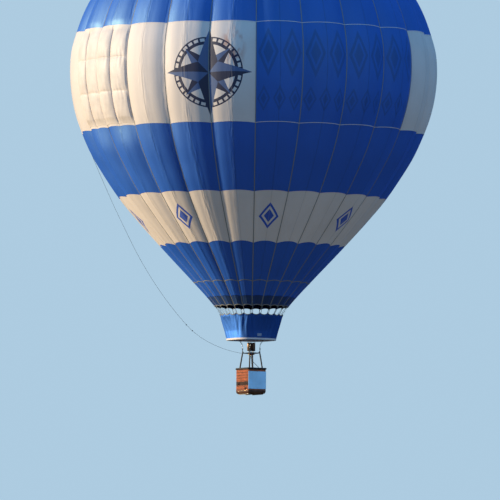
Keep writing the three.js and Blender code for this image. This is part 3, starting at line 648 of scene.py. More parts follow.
def rose_effect():
    """A plain eight-pointed compass rose with two rings. Place is in metres from its middle."""

    def fill(tree, given):
        part = put(tree, "ShaderNodeSeparateXYZ", {0: given["Place"]}).outputs
        squares = [sums(tree, "POWER", part[axis], 2.0) for axis in (0, 1)]
        reach = sums(tree, "DIVIDE", sums(tree, "SQRT", sums(tree, "ADD", *squares)), given["Radius"])
        angle = sums(tree, "ADD", sums(tree, "ARCTAN2", part[0], part[1]), math.pi)

        def points(turn, tip, slenderness):
            quarter = sums(tree, "MODULO", sums(tree, "ADD", angle, turn), math.pi / 2)
            folded = sums(tree, "SUBTRACT", quarter, math.pi / 4)
            away = sums(tree, "SUBTRACT", math.pi / 4, sums(tree, "ABSOLUTE", folded))
            slope = sums(tree, "MULTIPLY", sums(tree, "SINE", away), slenderness)
            edge = sums(tree, "ADD", sums(tree, "COSINE", away), slope)
            inside = sums(tree, "LESS_THAN", sums(tree, "MULTIPLY", reach, edge), tip)
            return inside, sums(tree, "GREATER_THAN", folded, 0.0)

        def ring(radius, width):
            away = sums(tree, "ABSOLUTE", sums(tree, "SUBTRACT", reach, radius))
            return sums(tree, "LESS_THAN", away, width)

        long, long_half = points(0.0, 1.0, 3.4)
        short, short_half = points(math.pi / 4, 0.74, 2.6)
        thin_rings = sums(tree, "MAXIMUM", ring(0.78, 0.016), ring(0.30, 0.022))
        rings = sums(tree, "MAXIMUM", ring(0.66, 0.035), thin_rings)
        tick = sums(tree, "FRACT", sums(tree, "MULTIPLY", angle, 32 / math.tau))
        tick_angle = sums(tree, "ABSOLUTE", sums(tree, "SUBTRACT", tick, 0.5))
        ticks = sums(tree, "MULTIPLY", sums(tree, "LESS_THAN", tick_angle, 0.16), ring(0.72, 0.045))
        drawn = sums(tree, "MAXIMUM", sums(tree, "MAXIMUM", long, short), sums(tree, "MAXIMUM", rings, ticks))
        light_long = sums(tree, "MULTIPLY", long, long_half)
        short_only = sums(tree, "MULTIPLY", short, sums(tree, "SUBTRACT", 1.0, long))
        light_short = sums(tree, "MULTIPLY", short_only, short_half)
        return {"Drawn": drawn, "Light half": sums(tree, "MAXIMUM", light_long, light_short)}

    return effect(
        "Compass rose",
        [("Place", "Vector", None), ("Radius", "Float", 2.0)],
        [("Drawn", "Float"), ("Light half", "Float")],
        fill,
    )


def lozenge_effect():
    """A row of lozenges. Place is in metres, with the row along X through 0."""

    def fill(tree, given):
        part = put(tree, "ShaderNodeSeparateXYZ", {0: given["Place"]}).outputs
        step = sums(tree, "SUBTRACT", sums(tree, "FRACT", sums(tree, "DIVIDE", part[0], given["Pitch"])), 0.5)
        beside = sums(tree, "ABSOLUTE", sums(tree, "MULTIPLY", step, given["Pitch"]))
        along = sums(tree, "DIVIDE", beside, given["Half width"])
        up = sums(tree, "DIVIDE", sums(tree, "ABSOLUTE", part[1]), given["Half height"])
        away = sums(tree, "ADD", along, up)
        hollowed = sums(tree, "GREATER_THAN", away, given["Hollow"])
        outline = sums(tree, "MULTIPLY", sums(tree, "LESS_THAN", away, 1.0), hollowed)
        core = sums(tree, "LESS_THAN", away, given["Core"])
        return {"Drawn": sums(tree, "MAXIMUM", outline, core)}

    return effect(
        "Lozenge row",
        [
            ("Place", "Vector", None), ("Pitch", "Float", 1.0), ("Half width", "Float", 0.4),
            ("Half height", "Float", 0.6), ("Hollow", "Float", 0.7), ("Core", "Float", 0.45),
        ],
        [("Drawn", "Float")],
        fill,
    )


# Materials


def new_material(name):
    """A material with its shader. Returns the material, its node tree and the shader."""
    material = bpy.data.materials.new(name)
    material.use_nodes = True
    tree = material.node_tree
    return material, tree, tree.nodes["Principled BSDF"]


def cached(make):
    """Makes each material once."""

    def get(*given):
        name = make.__name__ + "".join("_" + str(g) for g in given)
        return bpy.data.materials.get(name) or make(name, *given)

    return get


def opaque(colour):
    return (*colour, 1.0)


def shade(colour, factor):
    return tuple(min(c * factor, 1.0) for c in colour)


def bump(tree, shader, height, distance, strength=1.0):
    made = put(tree, "ShaderNodeBump", {"Height": height, "Distance": distance, "Strength": strength})
    tree.links.new(made.outputs[0], shader.inputs["Normal"])


def cut_place(tree, scale=(1, 1), offset=(0, 0)):
    """The cloth's own place: gores round the envelope and metres down from the vent, scaled and moved."""
    cut = put(tree, "ShaderNodeUVMap", uv_map="cut").outputs[0]
    made = put(tree, "ShaderNodeMapping", {"Vector": cut, "Location": (*offset, 0), "Scale": (*scale, 1)})
    return made.outputs[0]


def object_place(tree):
    return put(tree, "ShaderNodeTexCoord").outputs["Object"]


def mottled(name, colour, scale, dark, light, amount):
    """A material whose colour wanders between two shades. Returns it, its tree, shader, place and tone."""
    material, tree, shader = new_material(name)
    place = object_place(tree)
    tone = use(
        tree, mottle_effect(), Place=place, Scale=scale, Base=opaque(shade(colour, dark)),
        Second=opaque(shade(colour, light)), Amount=amount,
    )
    return material, tree, shader, place, tone


# The tints of the fabrics' shine, and the index of refraction that sets how strong it is
BLUE_GLOSS, CREAM_GLOSS = (0.56, 0.94, 1.0), (1.0, 0.96, 0.88)
SATIN, MATT = 1.9, 1.5
CREAM_FINISH = {"stitch": 0.3, "gloss": 0.25, "tint": CREAM_GLOSS, "index": MATT}


def seamed_cloth(
    name, colour, motif=None, roughness=0.52, stitch=0.45, gloss=0.80, tint=BLUE_GLOSS, index=SATIN
):
    """Coated ripstop cloth with a stitched line down each gore. motif(tree, colour) draws on its colour."""
    material, tree, shader, place, tone = mottled(name, colour, 0.55, 0.93, 1.06, 0.8)
    seams = use(tree, seam_effect(), Cut=cut_place(tree))
    cloth = motif(tree, tone["Colour"]) if motif else tone["Colour"]
    line = sums(tree, "MULTIPLY", seams["Stitch"], stitch)
    threads = use(tree, weave_effect(), Place=place, Scale=30.0)
    folds = sums(tree, "MULTIPLY", seams["Folds"], 0.035)
    threads = sums(tree, "MULTIPLY", threads["Height"], 0.0006)
    bump(tree, shader, sums(tree, "ADD", folds, threads), 1.0)
    wire(tree, shader, {
        "Base Color": blended(tree, line, cloth, opaque(shade(colour, 0.45))),
        "Roughness": sums(tree, "ADD", sums(tree, "MULTIPLY", tone["Mask"], 0.08), roughness),
        "IOR": index, "Specular IOR Level": gloss, "Specular Tint": opaque(tint),
        "Sheen Weight": 0.30, "Sheen Roughness": 0.4, "Sheen Tint": opaque(shade(colour, 1 / max(colour))),
    })
    return material


@cached
def blue_cloth(name):
    return seamed_cloth(name, colours().blue)


@cached
def heat_cloth(name):
    return seamed_cloth(name, colours().heat, roughness=0.48, stitch=0.3, gloss=0.95)


@cached
def blue_panel_cloth(name):
    """The broad band's blue panels, with two rows of darker lozenges."""
    dark = opaque(shade(colours().blue, 0.62))

    def motif(tree, cloth):
        for level, pitch, half_width, half_height, core in (
            (BAND_TOP + 1.42, 1.085, 0.46, 1.12, 0.5),
            (BAND_TOP + 3.50, 0.723, 0.30, 0.58, 0.45),
        ):
            row = use(
                tree, lozenge_effect(), Place=cut_place(tree, (BAND_GORE_WIDTH, 1), (0, -level)),
                Pitch=pitch, Half_width=half_width, Half_height=half_height, Hollow=0.72, Core=core,
            )
            cloth = blended(tree, sums(tree, "MULTIPLY", row["Drawn"], 0.75), cloth, dark)
        return cloth

    return seamed_cloth(name, colours().blue, motif)


@cached
def emblem_cloth(name, middle_gore):
    """The broad band's cream panel with a compass rose in its middle and a few old stains beside it."""
    level = BAND_TOP + 2.32
    gore_width = BAND_GORE_WIDTH

    def motif(tree, cloth):
        place = cut_place(tree, (gore_width, -1), (-middle_gore * gore_width, level))
        rose = use(tree, rose_effect(), Place=place, Radius=2.0)
        stain_width = gore_width * 1.9
        stain_place = cut_place(tree, (stain_width, -1), (-(middle_gore + 0.52) * stain_width, level - 1.05))
        apart = put(tree, "ShaderNodeVectorMath", {0: stain_place}, operation="LENGTH").outputs["Value"]
        smudge = noise(tree, stain_place, 1.5, 6.0)
        near = sums(tree, "SUBTRACT", 1.0, ramp(tree, apart, 0.45, 1.35))
        stain = sums(tree, "MULTIPLY", sums(tree, "MULTIPLY", ramp(tree, smudge, 0.47, 0.62), near), 0.75)
        cloth = blended(tree, stain, cloth, (0.58, 0.25, 0.14, 1.0))
        cloth = blended(tree, sums(tree, "MULTIPLY", rose["Drawn"], 0.95), cloth, opaque(colours().navy))
        return blended(tree, sums(tree, "MULTIPLY", rose["Light half"], 0.9), cloth, (0.11, 0.15, 0.25, 1.0))

    return seamed_cloth(name, colours().cream, motif, **CREAM_FINISH)


@cached
def narrow_band_cloth(name):
    """The narrow cream band, with one blue lozenge on every third gore."""
    level = (seam_level("narrow band top") + seam_level("narrow band bottom")) / 2
    gore_width = 1.36

    def motif(tree, cloth):
        row = use(
            tree, lozenge_effect(), Place=cut_place(tree, (gore_width, 1), (gore_width, -level)),
            Pitch=3 * gore_width, Half_width=0.46, Half_height=0.76, Hollow=0.74, Core=0.5,
        )
        drawn = sums(tree, "MULTIPLY", row["Drawn"], 0.95)
        return blended(tree, drawn, cloth, opaque(shade(colours().blue, 0.9)))

    return seamed_cloth(name, colours().cream, motif, **CREAM_FINISH)


def even_cloth(name, colour, roughness, gloss=0.3, tint=CREAM_GLOSS, index=MATT):
    """Cloth with no gores in it."""
    material, tree, shader, place, tone = mottled(name, colour, 2.0, 0.88, 1.1, 0.8)
    threads = use(tree, weave_effect(), Place=place, Scale=110.0)
    threads = sums(tree, "MULTIPLY", threads["Height"], 0.0006)
    creases = noise(tree, place, 3.0, 5.0)
    bump(tree, shader, sums(tree, "ADD", threads, sums(tree, "MULTIPLY", creases, 0.006)), 1.0)
    wire(tree, shader, {
        "Base Color": tone["Colour"], "Roughness": roughness,
        "IOR": index, "Specular IOR Level": gloss, "Specular Tint": opaque(tint),
    })
    return material


@cached
def plain_cloth(name, colour_name, roughness):
    """A hem's, the cover's or the banner's cloth."""
    return even_cloth(name, getattr(colours(), colour_name), roughness)


@cached
def scoop_satin(name):
    return even_cloth(name, colours().scoop, 0.60, gloss=1.0, tint=(0.13, 0.37, 1.0), index=4.5)


@cached
def webbing(name):
    material, tree, shader, place, tone = mottled(name, colours().tape, 1.5, 0.8, 1.3, 0.9)
    threads = use(tree, weave_effect(), Place=place, Scale=160.0)
    bump(tree, shader, threads["Height"], 0.001)
    wire(tree, shader, {
        "Base Color": tone["Colour"], "Roughness": 0.8, "Sheen Weight": 0.8,
        "Sheen Tint": (1.0, 0.86, 0.76, 1.0),
    })
    return material


@cached
def leather(name, colour_name):
    """Stitched hide with a pebbled grain and rubbed high spots."""
    material, tree, shader, place, tone = mottled(name, getattr(colours(), colour_name), 6.0, 0.75, 1.9, 0.6)
    rough = sums(tree, "ADD", sums(tree, "MULTIPLY", tone["Mask"], 0.18), 0.42)
    wire(tree, shader, {"Base Color": tone["Colour"], "Roughness": rough})
    grain = put(tree, "ShaderNodeTexVoronoi", {"Vector": place, "Scale": 260.0}).outputs["Distance"]
    bump(tree, shader, grain, 0.0012, 0.8)
    return material


@cached
def willow(name, colour_name):
    """Peeled willow: streaks along each strand and darker knots."""
    colour = getattr(colours(), colour_name)
    material, tree, shader, place, tone = mottled(name, colour, 5.0, 0.75, 1.25, 0.9)
    streaks = noise(tree, stretched(tree, place, (3.0, 3.0, 60.0)), 2.0, 5.0)
    streak = sums(tree, "MULTIPLY", ramp(tree, streaks, 0.4, 0.7), 0.40)
    streaked = blended(tree, streak, tone["Colour"], opaque(shade(colour, 0.4)))
    wire(tree, shader, {"Base Color": streaked, "Roughness": 0.6})
    bump(tree, shader, streaks, 0.0015, 0.7)
    return material


@cached
def planks(name):
    """Varnished timber with grain along X."""
    material, tree, shader = new_material(name)
    place = object_place(tree)
    rings = noise(tree, stretched(tree, place, (14.0, 1.2, 14.0)), 3.0, 6.0, 1.2)
    colour = SLOT_COLOURS["timber"]
    dark, light = opaque(shade(colour, 0.5)), opaque(shade(colour, 1.15))
    grain = blended(tree, ramp(tree, rings, 0.35, 0.65), dark, light)
    wire(tree, shader, {"Base Color": grain, "Roughness": 0.55})
    bump(tree, shader, rings, 0.002, 0.6)
    return material


@cached
def metal(name, red, green, blue, roughness, heat):
    """Brushed or painted metal. heat tints it straw in patches, from 0 to 1."""
    material, tree, shader, place, tone = mottled(name, (red, green, blue), 12.0, 0.8, 1.1, 0.8)
    tint = noise(tree, place, 7.0, 3.0)
    heated = sums(tree, "MULTIPLY", ramp(tree, tint, 0.42, 0.6), heat)
    wire(tree, shader, {
        "Base Color": blended(tree, heated, tone["Colour"], (0.62, 0.33, 0.12, 1.0)),
        "Roughness": sums(tree, "ADD", sums(tree, "MULTIPLY", tone["Mask"], 0.14), roughness),
        "Metallic": 1.0,
    })
    lines = noise(tree, stretched(tree, place, (1.0, 1.0, 14.0)), 140.0, 2.0)
    bump(tree, shader, lines, 0.0004, 0.6)
    return material


def stainless():
    return metal(0.60, 0.59, 0.57, 0.24, 0.15)


def burnt_steel():
    return metal(0.38, 0.30, 0.25, 0.30, 0.7)


def satin_aluminium():
    return metal(0.74, 0.75, 0.76, 0.30, 0.0)


def brass():
    return metal(0.72, 0.50, 0.20, 0.26, 0.0)


@cached
def painted(name, red, green, blue, roughness):
    """Powder coat with a fine orange peel and chipped high spots."""
    material, tree, shader, place, tone = mottled(name, (red, green, blue), 15.0, 0.85, 1.5, 0.7)
    wire(tree, shader, {"Base Color": tone["Colour"], "Roughness": roughness})
    peel = noise(tree, place, 320.0, 2.0)
    bump(tree, shader, peel, 0.0006, 0.5)
    return material


def frame_paint():
    return painted(0.030, 0.032, 0.036, 0.42)


def hose_rubber():
    return painted(0.012, 0.012, 0.013, 0.55)


@cached
def braided_rope(name, red, green, blue):
    """Rope whose strands wind round it, with painted shade in the grooves between them."""
    material, tree, shader = new_material(name)
    place = object_place(tree)
    turned = put(tree, "ShaderNodeMapping", {"Vector": place, "Rotation": (0.6, 0.5, 0.4)}).outputs[0]
    strands = put(
        tree, "ShaderNodeTexWave", {"Vector": turned, "Scale": 90.0, "Distortion": 1.5}
    ).outputs["Fac"]
    base = (red, green, blue)
    # Painted shade: the colour is darker in the grooves between the strands and lighter on their crowns
    tone = blended(tree, strands, opaque(shade(base, 0.7)), opaque(shade(base, 1.35)))
    wire(tree, shader, {"Base Color": tone, "Roughness": 0.85})
    bump(tree, shader, strands, 0.002, 0.8)
    return material


# Operators


def bearing(turn, rise):
    """The unit way out from the middle at a turn and a rise in degrees."""
    turn, rise = math.radians(turn), math.radians(rise)
    return Vector((math.sin(turn) * math.cos(rise), -math.cos(turn) * math.cos(rise), math.sin(rise)))


class StageOperator(bpy.types.Operator):
    """Sets the camera, the floor and the soft lights."""

    bl_idname = "balloon.stage"
    bl_label = "Stage"

    def execute(self, context):
        self.place_camera(context)
        self.lay_floor(context)
        self.light(context)
        return {"FINISHED"}

    def place_camera(self, context):
        back = bearing(VIEW_TURN, -VIEW_RISE)
        aim = Vector((0, 0, VIEW_CENTRE_Z)) - VIEW_LEFT * bearing(VIEW_TURN + 90, 0)
        data = bpy.data.cameras.new("camera")
        data.lens = VIEW_LENS
        data.sensor_width = 36
        data.clip_start = 1
        data.clip_end = 2000
        camera = bpy.data.objects.new("camera", data)
        context.scene.collection.objects.link(camera)
        facing = back.to_track_quat("Z", "Y").to_matrix().to_4x4()
        roll = Matrix.Rotation(math.radians(VIEW_ROLL), 4, "Z")
        camera.matrix_world = Matrix.Translation(aim + back * VIEW_DISTANCE) @ facing @ roll
        context.scene.camera = camera

    def lay_floor(self, context):
        material, tree, shader = new_material("pale_floor")
        # Warm enough to look a plain pale grey in the cool light
        wire(tree, shader, {"Base Color": (1.0, 0.68, 0.40, 1), "Roughness": 1.0, "Specular IOR Level": 0.0})
        mesh = bpy.data.meshes.new("floor")
        corners = [(x * FLOOR_REACH, y * FLOOR_REACH, FLOOR_Z) for x, y in CORNERS.values()]
        mesh.from_pydata(corners, [], [(0, 1, 2, 3)])
        mesh.materials.append(material)
        floor = bpy.data.objects.new("floor", mesh)
        floor.visible_diffuse = floor.visible_glossy = False
        context.scene.collection.objects.link(floor)

    def light(self, context):
        self.set_world(context)
        lamps = (
            ("key", 5.0, 4, (1.0, 0.88, 0.65), -91.5, 9),
            ("fill", 0.12, 60, (0.85, 0.92, 1.0), 40, 5),
        )
        for name, strength, softness, colour, turn, rise in lamps:
            data = bpy.data.lights.new(name, "SUN")
            data.energy = strength
            data.angle = math.radians(softness)
            data.color = colour
            lamp = bpy.data.objects.new(name, data)
            context.scene.collection.objects.link(lamp)
            lamp.rotation_mode = "QUATERNION"
            lamp.rotation_quaternion = bearing(VIEW_TURN + turn, rise).to_track_quat("Z", "Y")

    def set_world(self, context):
        """A pale backdrop to look at, and a dimmer, cooler light from all round."""
        context.scene.view_settings.view_transform = "Standard"
        world = bpy.data.worlds.new("studio")
        world.use_nodes = True
        context.scene.world = world
        tree = world.node_tree
        ambient = tree.nodes["Background"]
        place = put(tree, "ShaderNodeTexCoord").outputs["Generated"]
        height = put(tree, "ShaderNodeSeparateXYZ", {0: place}).outputs[2]
        low, high = (0.14, 0.14, 0.125, 1), (0.135, 0.45, 1.06, 1)
        tree.links.new(blended(tree, ramp(tree, height, -0.15, 0.15), low, high), ambient.inputs["Color"])
        backdrop = put(tree, "ShaderNodeBackground", {"Color": (0.42, 0.60, 0.75, 1)})
        path = put(tree, "ShaderNodeLightPath").outputs
        softened = sums(tree, "MULTIPLY", path["Is Glossy Ray"], -0.85)
        tree.links.new(sums(tree, "ADD", softened, 1.0), ambient.inputs["Strength"])
        seen = path["Is Camera Ray"]
        both = put(tree, "ShaderNodeMixShader", {0: seen, 1: ambient.outputs[0], 2: backdrop.outputs[0]})
        tree.links.new(both.outputs[0], tree.nodes["World Output"].inputs["Surface"])


# Pieces


class CordsOperator(bpy.types.Operator):
    """Hangs the crown line and the two fuel hoses."""

    bl_idname = "balloon.cords"
    bl_label = "Cords"

    def execute(self, context):
        self.crown_line()
        self.hoses()
        return {"FINISHED"}

    def curve(self, name, points, radius, material):
        """A round cord along a smooth curve through points. Returns it and its length."""
        points = np.asarray(points, float)
        smooth = spread(points, 8)
        data = bpy.data.curves.new(name, "CURVE")
        data.dimensions = "3D"
        spline = data.splines.new("POLY")
        spline.points.add(len(smooth) - 1)
        for place, at in zip(spline.points, smooth):
            place.co = (*at, 1)
        data.bevel_depth = radius
        data.bevel_resolution = 3
        data.use_fill_caps = True
        data.materials.append(material)
        cord = bpy.data.objects.new(name, data)
        bpy.context.scene.collection.objects.link(cord)
        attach(cord, ROOT)
        return cord, float(np.linalg.norm(np.diff(smooth, axis=0), axis=1).sum())

    def crown_line(self):
        line, length = self.curve("crown_line_rope", CROWN_LINE, 0.006, braided_rope(*ROPE_COLOUR))
        fitted(line, "crown_line")
        held = Parts()
        levels = np.linspace(0, seam_level("broad band bottom") + 0.80, 70)
        ring = polar(CROWN_RADIUS + 0.022, LINE_TURN, CROWN_Z + 0.012)
        route = np.concatenate([[ring], fabric(levels, np.full(70, LINE_TURN), 0.0085), [CROWN_LINE[0]]])
        held.tube(route, 0.006, sides=8)
        held.piece("crown_line_laid", [braided_rope(*ROPE_COLOUR)], "rope", "crown_line_on_envelope")
        knots = [self.knot(f"crown_line_knot_{number}", *place) for number, place in enumerate(KNOTS, 1)]

    def knot(self, name, before, after):
        """An overhand knot round the rope between two points of its route."""
        before, after = np.array(before), np.array(after)
        along = (after - before) / np.linalg.norm(after - before)
        side = np.cross(along, (0, 0, 1.0))
        side /= np.linalg.norm(side)
        up = np.cross(side, along)
        turn = np.linspace(0, math.tau, 49)[:-1]
        width = 0.019 + 0.008 * np.cos(3 * turn)
        path = (
            (before + after) / 2
            + np.outer(width * np.cos(2 * turn), side)
            + np.outer(width * np.sin(2 * turn), up)
            + np.outer(0.013 * np.sin(3 * turn), along)
        )
        parts = Parts()
        parts.tube(path, 0.0075, sides=8, closed=True, up=along)
        return parts.piece(name, [braided_rope(*ROPE_COLOUR)], "rope")

    def hoses(self):
        for name, route in HOSES.items():
            hose, length = self.curve(f"fuel_hose_{name}_braided", route, 0.011, hose_rubber())
            fitted(hose, "fuel_hose_" + name)
            ends = Parts()
            for at, way in ((route[0], -1), (route[-1], 1)):
                ends.tube([at, (at[0], at[1], at[2] + way * 0.030)], [0.0150, 0.0150], 6)
                ends.tube(
                    [(*at[:2], at[2] + way * 0.030), (*at[:2], at[2] + way * 0.062)], [0.0135, 0.0135], 16
                )
            ferrules = ends.piece(f"fuel_hose_{name}_ferrules", [brass()], "steel")


class EnvelopeOperator(bpy.types.Operator):
    """Sews the envelope's panels."""

    bl_idname = "balloon.envelope"
    bl_label = "Envelope"

    def execute(self, context):
        blue = blue_cloth()
        band = "broad band top", "broad band bottom"
        self.row("top_fabric", 4, "vent", "broad band top", blue, "blue_fabric", "envelope_top_blue")
        for side, first, count, cloth in (
            ("blue_front", 0, 4, blue_panel_cloth()),
            ("cream_right", 4, 8, emblem_cloth(11.0)),
            ("blue_back", 12, 4, blue_panel_cloth()),
            ("cream_left", 16, 8, emblem_cloth(23.0)),
        ):
            node = "broad_band_" + side
            self.panel(node + "_fabric", first, count, *band, cloth, side.split("_")[0] + "_fabric", node)
        band = "broad band bottom", "narrow band top"
        self.row("middle_fabric", 2, *band, blue, "blue_fabric", "envelope_middle_blue")
        band = "narrow band top", "narrow band bottom"
        self.row("narrow_band_fabric", 2, *band, narrow_band_cloth(), "cream_fabric", "narrow_band_cream")
        band = "narrow band bottom", "heat panel top"
        self.panel("lower_fabric", 0, GORES, *band, blue, "blue_fabric", "envelope_lower_blue")
        band = "heat panel top", "mouth"
        self.panel("heat_panel_fabric", 0, GORES, *band, heat_cloth(), "heat_fabric", "heat_panel")
        return {"FINISHED"}

    def row(self, name, panels, top, bottom, material, slot, node):
        """Equal panels all the way round. The first stands for the CAD node."""
        gores = GORES // panels
        for number in range(panels):
            whose = None if number else node
            self.panel(f"{name}_{number + 1}", gores * number, gores, top, bottom, material, slot, whose)

    def panel(self, name, first, count, top, bottom, material, slot, node):
        """The cloth between two seams over a count of gores."""
        top, bottom = seam_level(top), seam_level(bottom)
        height = float(bottom - top)
        levels = np.linspace(top, bottom, max(int(height / CLOTH_ROW), 6) + 1)
        gores = np.linspace(first, first + count, count * CLOTH_COLUMNS + 1)
        down, across = np.meshgrid(levels, gores, indexing="ij")
        grid = fabric(down, turn_of(across))
        piece = sheet_mesh(name, grid, np.stack([across, down], axis=-1), [material])
        fitted(piece, node)


class TapesOperator(bpy.types.Operator):
    """Sews the load tapes, the level tapes and the crown ring."""

    bl_idname = "balloon.tapes"
    bl_label = "Tapes"

    def execute(self, context):
        self.load_tapes()
        self.level_tapes()
        self.crown()
        return {"FINISHED"}

    def load_tapes(self):
        parts = Parts()
        levels = np.linspace(0, LEVELS[-1], 110)
        radius = through(LEVELS, RADII, levels) / RIDGE_RATIO
        half = np.degrees(sizes().tape_width / 2 / radius)
        for gore in range(GORES):
            turn = turn_of(gore)
            across = turn + half[:, None] * np.array([-1, -0.4, 0.4, 1])
            down = np.repeat(levels[:, None], 4, axis=1)
            outer = fabric(down, across, 0.0045)
            inner = fabric(down, across, 0.0006)
            hub = polar(CROWN_RADIUS + 0.012, turn + 5.0 * np.array([-1, -0.4, 0.4, 1]), CROWN_Z)
            share = np.linspace(0, 1, 5)[:-1, None, None]
            span = hub + (inner[0] - hub) * share
            lift = np.array([0, 0, 0.004])
            parts.slab(np.concatenate([span + lift, outer]), np.concatenate([span, inner]))
        parts.piece("load_tapes_webbing", [webbing()], "webbing", "load_tapes")

    def hoop(self, parts, level, width, slot=0, gores=(0, GORES)):
        count = (gores[1] - gores[0]) * 12
        whole = gores[1] - gores[0] == GORES
        across = np.linspace(gores[0], gores[1], count + 1)[: count if whole else count + 1]
        turns = turn_of(across)
        down, turn = np.meshgrid([level - width, level - width / 2, level], turns, indexing="ij")
        parts.slab(fabric(down, turn, 0.0075), fabric(down, turn, 0.0050), wraps=whole, slot=slot)

    def level_tapes(self):
        parts = Parts()
        width = sizes().hem_width
        self.hoop(parts, seam_level("horizontal tape"), width)
        self.hoop(parts, seam_level("mouth") + 0.004, width)
        parts.piece("level_tapes_webbing", [webbing()], "webbing")
        seams = Parts()
        for name in ("broad band top", "broad band bottom"):
            self.hoop(seams, seam_level(name) + 0.012, 0.024)
        for name in ("narrow band top", "narrow band bottom", "heat panel top"):
            self.hoop(seams, seam_level(name) + 0.006, 0.012, slot=1)
        seams.piece("seam_tapes", [plain_cloth("cream", 0.6), plain_cloth("blue", 0.6)], "cream_fabric")

    def crown(self):
        parts = Parts()
        turn = np.linspace(0, 360, 97)[:-1]
        parts.tube(polar(CROWN_RADIUS, turn, CROWN_Z), 0.016, sides=12, closed=True)
        parts.piece("crown_ring_turned", [satin_aluminium()], "aluminium", "crown_ring")
        loops = Parts()
        for gore in range(GORES):
            turn = turn_of(gore)
            sides = turn + np.array([-4.6, -1.5, 1.5, 4.6])
            loops.slab(self.loop(sides, 0.0195), self.loop(sides, 0.0165))
        loops.piece("crown_ring_tape_loops", [webbing()], "webbing")

    def loop(self, turns, radius):
        """Rows of points round the crown ring's section, where a tape passes over it."""
        angle = np.radians(np.linspace(-150, 150, 14))[:, None]
        return polar(CROWN_RADIUS - radius * np.cos(angle), turns[None], CROWN_Z + radius * np.sin(angle))


class CoverOperator(bpy.types.Operator):
    """Fastens the puffed blank cover over two gores of the left cream panel."""

    bl_idname = "balloon.cover"
    bl_label = "Cover"

    def execute(self, context):
        top, bottom = BAND_TOP - 0.02, BAND_BOTTOM - 0.10
        down, across = np.meshgrid(np.linspace(0, 1, 97), np.linspace(*COVER_GORES, 193), indexing="ij")
        levels = top + down * (bottom - top)
        upright = np.abs(np.sin(math.pi * across * 2)) ** 0.38
        level = np.abs(np.sin(math.pi * down * 3)) ** 0.42
        from_side = np.minimum(across - COVER_GORES[0], COVER_GORES[1] - across)
        edge = np.minimum(1, np.minimum(down, 1 - down) * 14) * np.minimum(1, from_side * 24)
        puff = 0.012 + sizes().quilt * upright * (0.35 + 0.65 * level) * edge
        gathers = 0.007 * np.sin(across * 62 + 2 * np.sin(levels * 3.1)) * (1 - level) ** 0.7
        wrinkle = (gathers + 0.002 * np.sin(across * 47 + 3 * np.sin(levels * 2.1))) * edge
        grid = fabric(levels, turn_of(across), puff + wrinkle)
        cover = sheet_mesh(
            "cover_panel", grid, np.stack([across, levels], axis=-1), [plain_cloth("cream", 0.5)]
        )
        fitted(cover)
        return {"FINISHED"}


class ValveOperator(bpy.types.Operator):
    """Sets the parachute valve under the vent."""

    bl_idname = "balloon.valve"
    bl_label = "Parachute valve"

    def execute(self, context):
        rim = float(LEVELS[1]) * 0.22
        gores = np.linspace(0, GORES, GORES * 12 + 1)[:-1]
        turns = turn_of(gores)
        bands = [fabric(level, turns, -0.016) for level in np.linspace(rim, 0, 5)]
        edge = bands[-1]
        arch = 1 - (2 * (gores - np.floor(gores)) - 1) ** 2
        for share in np.linspace(0.93, 0.04, 16):
            height = through([0, 0.3, 0.7, 1], [6.609, 6.594, 6.539, float(edge[:, 2].mean())], share)
            ring = edge * share
            ring[:, 2] = height + (edge[:, 2] - edge[:, 2].mean()) * share**6 + 0.010 * arch * share
            bands.append(ring)
        grid = np.stack(bands)[::-1]
        levels = np.repeat(np.linspace(0, 2.5, len(bands))[:, None], len(gores), axis=1)
        cut = np.stack([np.repeat(gores[None], len(bands), axis=0), levels], axis=-1)
        valve = sheet_mesh("parachute_valve_cloth", grid, cut, [blue_cloth()], wraps=True, body="valve")
        fitted(valve, "parachute_valve")
        parts = Parts()
        hub = [(0.0, 6.6045), (0.16, 6.6040), (0.16, 6.6085), (0.0, 6.6105)]
        parts.turned(hub, (0, 0, 0), sides=32)
        for gore in range(0, GORES, 2):
            turn = turn_of(gore)
            out = np.array([0.12, 0.7, 1.2])
            path = polar(out, turn, through([0, 0.69, 1.6, 2.3], [6.613, 6.598, 6.543, 6.49], out))
            parts.tube(path, 0.011, sides=6, squash=0.3)
        parts.piece("parachute_valve_tapes", [webbing()], "webbing", body="valve")
        return {"FINISHED"}


